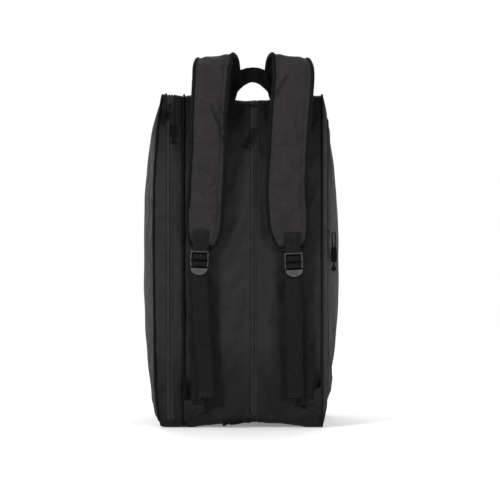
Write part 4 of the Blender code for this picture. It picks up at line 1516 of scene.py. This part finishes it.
def make_anchor(side, base, tip):
    """The folded triangle of shell fabric that holds the lower webbing. base and tip are spans of height."""
    inward, _, _, _, seam_x = STRAPS[side]
    columns, rows_count = 12, 12
    front, back = [], []
    for r in range(rows_count + 1):
        v = r / rows_count
        front_row, back_row = [], []
        for c in range(columns + 1):
            u = c / columns
            x = seam_x + inward * (0.0004 + 0.0336 * u)
            z = anchor_height(base, tip, u, v)
            ridge = 0.0036 * (1 - abs(2 * v - 1)) * (1 - 0.4 * u)
            pinch = 0.0005 * math.sin(9 * u + 4 * v) * (1 - u)
            lift = 0.0012 + 0.0016 * u + ridge + pinch
            front_row.append((x, BACK_Y - lift, z))
            back_row.append((x, BACK_Y + 0.0008 - 0.0014 * u, z))
        front.append(front_row)
        back.append(back_row)
    loops = [a + b[::-1] for a, b in zip(front, back)]
    made = new_piece(f"{side}_anchor_patch", grid_of(loops, wrap_points=True, cap=True), SHELL)
    close_faces(made)
    refine(made)
    lines = []
    for v in (0.10, 0.90):
        line = []
        for u in (0.06, 0.5, 0.80):
            z = anchor_height(base, tip, u, v)
            line.append(((seam_x + inward * (0.0004 + 0.0336 * u), BACK_Y - 0.004, z), (0, -1, 0)))
        lines.append(line)
    mount(stitches(f"{side}_anchor_stitches", made, lines), "bag", "shell_fabric")
    mount(made, "bag", "shell_fabric", f"{side}_anchor")


def make_grab_loop():
    """The soft handle between the straps' legs, flared where it meets them."""
    rows = []
    left, right, steps, sides = -0.0115, 0.0485, 26, 20
    middle, half = (left + right) / 2, (right - left) / 2
    for k in range(steps + 1):
        share = 2 * k / steps - 1
        flare = abs(share) ** 1.8
        centre_z = 0.5655 - 0.016 * flare
        centre_y = -0.1275 + 0.0040 * share * share
        tall = 0.0122 + 0.0073 * flare
        thick = 0.0036 + 0.0008 * rough(k * 0.3, 0, 0, 5.0)
        row = []
        for n in range(sides):
            angle = 2 * math.pi * n / sides
            fuzz = 0.0013 * rough(k * 0.9, n * 1.1, 0, 8.0)
            u = math.copysign(abs(math.cos(angle)) ** 0.7, math.cos(angle))
            v = math.copysign(abs(math.sin(angle)) ** 0.7, math.sin(angle))
            row.append((middle + half * share, centre_y + u * (thick + fuzz), centre_z + v * (tall + fuzz)))
        rows.append(row)
    loop = new_piece("grab_handle", grid_of(rows, wrap_points=True, cap=True), NET)
    close_faces(loop)
    refine(loop)
    mount(loop, "grab_loop", "webbing", "grab_loop")


for strap_side in STRAPS:
    make_strap(strap_side)
    hang_webbings(strap_side)
make_anchor("left", (0.009, 0.046), (0.026, 0.041))
make_anchor("right", (0.016, 0.068), (0.038, 0.052))
make_grab_loop()


# ---------------------------------------------------------------- sliders and pullers


def facing(x, y, z):
    """Puts a shape's (across, along, out) axes on the carrying side: right, up and towards -Y."""
    return Matrix.Translation((x, y, z)) @ Matrix.Rotation(math.pi / 2, 4, "X")


def slider_shape():
    """A zip slider's (across, along, out) body: two plates, the post between them and the bridge on top."""
    crown = rounded(
        (
            (-0.0030, -0.0060, 0.0012),
            (0.0030, -0.0060, 0.0012),
            (0.0040, 0.0030, 0.0010),
            (0.0026, 0.0060, 0.0010),
            (-0.0026, 0.0060, 0.0010),
            (-0.0040, 0.0030, 0.0010),
        )
    )
    parts = [placed(slab(crown, 0.0014, 0.0006), Matrix.Translation((0, 0, 0.0009)))]
    parts.append(placed(slab(crown, 0.0012, 0.0004), Matrix.Translation((0, 0, -0.0034))))
    parts.append(sweep([(0, 0.003, -0.0034), (0, 0.003, 0.0009)], round_profile(0.0007), (1, 0, 0)))
    bridge = [(0, -0.0044, 0.0012), (0, -0.0040, 0.0026), (0, -0.0026, 0.0034), (0, 0.0026, 0.0034)]
    bridge += [(0, 0.0040, 0.0026), (0, 0.0044, 0.0012)]
    fine = [row[:3] for row in through(bridge, 0.0008)]
    parts.append(sweep(fine, round_profile(0.0013, 8, flat=0.42), (1, 0, 0)))
    return combined(parts)


def ball(centre, size, turns=(10, 7), lumps=0.0):
    """A slightly lumpy ellipsoid."""
    across, up = turns
    rows = []
    for r in range(1, up):
        latitude = math.pi * r / up
        row = []
        for c in range(across):
            angle = 2 * math.pi * c / across
            swell = 1 + lumps * math.sin(3 * angle + 2 * r)
            row.append(
                (
                    centre[0] + size[0] * swell * math.sin(latitude) * math.cos(angle),
                    centre[1] + size[1] * math.cos(latitude),
                    centre[2] + size[2] * swell * math.sin(latitude) * math.sin(angle),
                )
            )
        rows.append(row)
    return grid_of(rows, wrap_points=True, cap=True)


def puller_shape(length, breadth=1.0):
    """A puller's (across, along, out) body, hanging from its pivot: a cord loop, a ribbed grip and a knot."""
    cord, gap = 0.0008, 0.0019
    grip_top, grip_foot = -0.38 * length, -0.76 * length
    loop = [(-gap * 0.8, grip_top, 0), (-gap, grip_top * 0.5, 0), (-gap, -0.001, 0), (-gap * 0.6, 0.0014, 0)]
    loop += [(0, 0.0020, 0)] + [(-u, v, w) for u, v, w in reversed(loop)]
    fine = [row[:3] for row in through(loop, 0.0010)]
    parts = [sweep(fine, round_profile(cord, 8), (0, 0, 1))]
    outline = rounded(
        (
            (-0.0028, grip_foot, 0.0008),
            (0.0028, grip_foot, 0.0008),
            (0.0034, (grip_top + grip_foot) / 2, 0.0030),
            (0.0026, grip_top + 0.0015, 0.0012),
            (-0.0026, grip_top + 0.0015, 0.0012),
            (-0.0034, (grip_top + grip_foot) / 2, 0.0030),
        )
    )
    parts.append(slab(outline, 0.0030, 0.0010))
    ribs = max(3, round((grip_top - grip_foot) / 0.0024))
    for k in range(1, ribs):
        v = grip_top + (grip_foot - grip_top) * k / ribs
        for face in (-0.0014, 0.0014):
            parts.append(dash((-0.0022, v, face), (0.0022, v, face), 0.00045))
    for sign in (-1, 1):
        tail = [(sign * 0.0009, grip_foot + 0.001, 0), (sign * 0.0008, -0.90 * length, 0)]
        parts.append(sweep(tail, round_profile(cord, 8), (0, 0, 1)))
    knot = -0.93 * length
    parts.append(ball((0, knot, 0), (0.0036, 0.065 * length, 0.0024), lumps=0.12))
    parts.append(ball((0, knot + 0.05 * length, 0), (0.0029, 0.0016, 0.0021), lumps=0.10))
    return placed(combined(parts), Matrix.Diagonal((breadth, 1, 1, 1)))


def hardware(name, shape, matrix, material, slot):
    made = new_piece(f"{name}_made", placed(shape, matrix), material)
    refine(made)
    mount(made, name, slot, name)


def make_back_sliders():
    rows = (
        ("main_upper", MAIN_ZIP_X, 0.478, 0.0, 0.034, 25),
        ("main_lower", MAIN_ZIP_X, 0.021, -0.0075, 0.052, 82),
        ("left_upper", LEFT_ZIP_X, 0.5165, 0.0, 0.034, 34),
        ("left_lower", LEFT_ZIP_X, 0.5035, 0.0, 0.050, -6),
    )
    for name, x, z, drop, length, tilt in rows:
        hardware(f"{name}_slider", slider_shape(), facing(x, BACK_Y, z), LACQUER, "slider_metal")
        hung = (
            Matrix.Translation((x, BACK_Y - 0.0052, z + drop))
            @ Matrix.Rotation(math.radians(tilt), 4, "Y")
            @ Matrix.Rotation(math.pi / 2, 4, "X")
        )
        hardware(f"{name}_puller", puller_shape(length), hung, PULLER, "puller")


def make_right_slider():
    """The pocket's slider and puller, turned to face out of the side panel."""
    z = FLAP_FOOT_Z + 0.012
    out = Vector((0.9466, -0.3223, 0.0))
    pivot = Vector((0.14947, -0.10969, z))
    across = Vector((0, 0, 1)).cross(out)
    turned = Matrix((across, (0, 0, 1), out)).transposed().to_4x4()
    turned.translation = pivot - out * 0.0068
    hardware("right_slider", slider_shape(), turned, LACQUER, "slider_metal")
    turned.translation = pivot
    twist = Matrix.Rotation(math.radians(-42), 4, "Y")
    hardware("right_puller", puller_shape(0.062, breadth=1.5), turned @ twist, PULLER, "puller")


make_back_sliders()
make_right_slider()


# ---------------------------------------------------------------- inside


def make_wall(name, x, inset, seed, node):
    """A padded divider that hangs between the rim's panels."""
    rows = []
    for row in side_grid(1 - inset / 0.15, 24, 40):
        made = []
        for y, z in row:
            billow = 0.0016 * rough(y / 0.07, z / 0.08, 0, seed) * smooth(1.0, 0.8, share_of(y, z))
            made.append((x + billow, y, z))
        rows.append(made)
    wall = new_piece(name, grid_of(rows), LINING)
    thicken(wall, 0.0028, inner=0)
    wall.modifiers["thickness"].offset = 0
    mount(wall, "bag", "lining", node)


def flat_plate(name, u_span, v_span, thickness, matrix, node):
    (u0, u1), (v0, v1) = u_span, v_span
    outline = rounded(((u0, v0, 0.01), (u1, v0, 0.01), (u1, v1, 0.01), (u0, v1, 0.01)))
    made = new_piece(name, placed(slab(outline, thickness, thickness * 0.4), matrix), LINING)
    close_faces(made)
    mount(made, "bag", "lining", node)
    return made


def make_inside():
    make_wall("left_wall", LEFT_INNER_SEAM_X, 0.0056, 31.0, "left_divider")
    make_wall("right_wall", RIGHT_SEAM_X, 0.0056, 37.0, "right_divider")
    edge = LEFT_INNER_SEAM_X + PIPING_HALF
    board_y = (BACK_Y + 0.008, FRONT_Y - 0.070)
    board_x = (edge + 0.002, RIGHT_SEAM_X - 0.0036)
    raised_board = Matrix.Translation((0, 0, 0.0163))
    flat_plate("stiff_base", board_x, board_y, 0.003, raised_board, "base_board")
    sideways = Matrix(((0, 0, 1, edge + 0.0033), (1, 0, 0, 0), (0, 1, 0, 0), (0, 0, 0, 1)))
    pocket_y = (BACK_Y + 0.035, FRONT_Y - 0.045)
    flat_plate("inner_pocket", pocket_y, (0.045, 0.300), 0.0015, sideways, "lining_pocket")


make_inside()


# ---------------------------------------------------------------- camera, light and floor


def make_camera():
    """A long lens straight on to the carrying side, level with the middle of the picture."""
    distance, width = 3.0, 0.800
    camera = bpy.data.objects.new("camera", bpy.data.cameras.new("camera"))
    camera.data.sensor_width = 36
    camera.data.lens = 36 * distance / width
    camera.data.clip_end = 50
    camera.location = (0.0144, BACK_Y - distance, 0.2848)
    camera.rotation_euler = (math.pi / 2, 0, 0)
    bpy.context.scene.collection.objects.link(camera)
    bpy.context.scene.camera = camera


def add_area(name, place, target, size, power):
    light = bpy.data.objects.new(name, bpy.data.lights.new(name, "AREA"))
    light.data.shape = "RECTANGLE"
    light.data.size, light.data.size_y = size
    light.data.energy = power
    light.location = place
    light.rotation_mode = "QUATERNION"
    light.rotation_quaternion = (Vector(target) - Vector(place)).to_track_quat("-Z", "Y")
    bpy.context.scene.collection.objects.link(light)


def make_studio():
    """White all round and dim on the carrying side, with a soft key, fill, overhead and two rear lights."""
    scene = bpy.context.scene
    scene.view_settings.view_transform = "Standard"
    world = bpy.data.worlds.new("studio")
    world.use_nodes = True
    tree = world.node_tree
    split = tree.nodes.new("ShaderNodeSeparateXYZ")
    tree.links.new(tree.nodes.new("ShaderNodeTexCoord").outputs["Generated"], split.inputs[0])
    fade = tree.nodes.new("ShaderNodeMapRange")
    fade.interpolation_type = "SMOOTHSTEP"
    fade.inputs["From Min"].default_value = -0.60
    fade.inputs["From Max"].default_value = 0.15
    fade.inputs["To Min"].default_value = 0.16
    tree.links.new(split.outputs["Y"], fade.inputs["Value"])
    tree.links.new(fade.outputs["Result"], tree.nodes["Background"].inputs["Strength"])
    tree.nodes["Background"].inputs["Color"].default_value = (1, 1, 1, 1)
    scene.world = world
    add_area("key", (-1.70, -1.90, 1.40), (0, 0, 0.30), (0.7, 0.7), 96)
    add_area("fill", (1.50, -2.50, 0.80), (0, 0, 0.28), (0.9, 0.9), 66)
    add_area("overhead", (0, 1.2, 2.4), (0, 0.0, 0.2), (2.0, 2.0), 26)
    add_area("rear_left", (-0.9, 2.6, 1.3), (0, 0.05, 0.28), (0.9, 0.9), 30)
    add_area("rear_right", (0.9, 2.6, 1.3), (0, 0.05, 0.28), (0.9, 0.9), 30)

    paper = Recipe("floor_paper", (0.50, 0.50, 0.50), 0.9)
    paper.tint(paper.cloud(3), 0.995, 1.0)
    paper.shader.inputs["Emission Color"].default_value = (1, 1, 1, 1)
    paper.shader.inputs["Emission Strength"].default_value = 0.24
    near_edge, far_edge = [(-12, -12, 0), (12, -12, 0)], [(-12, 1.7, 0), (12, 1.7, 0)]
    floor = new_piece("floor", grid_of([near_edge, far_edge]), paper.material)


make_camera()
make_studio()
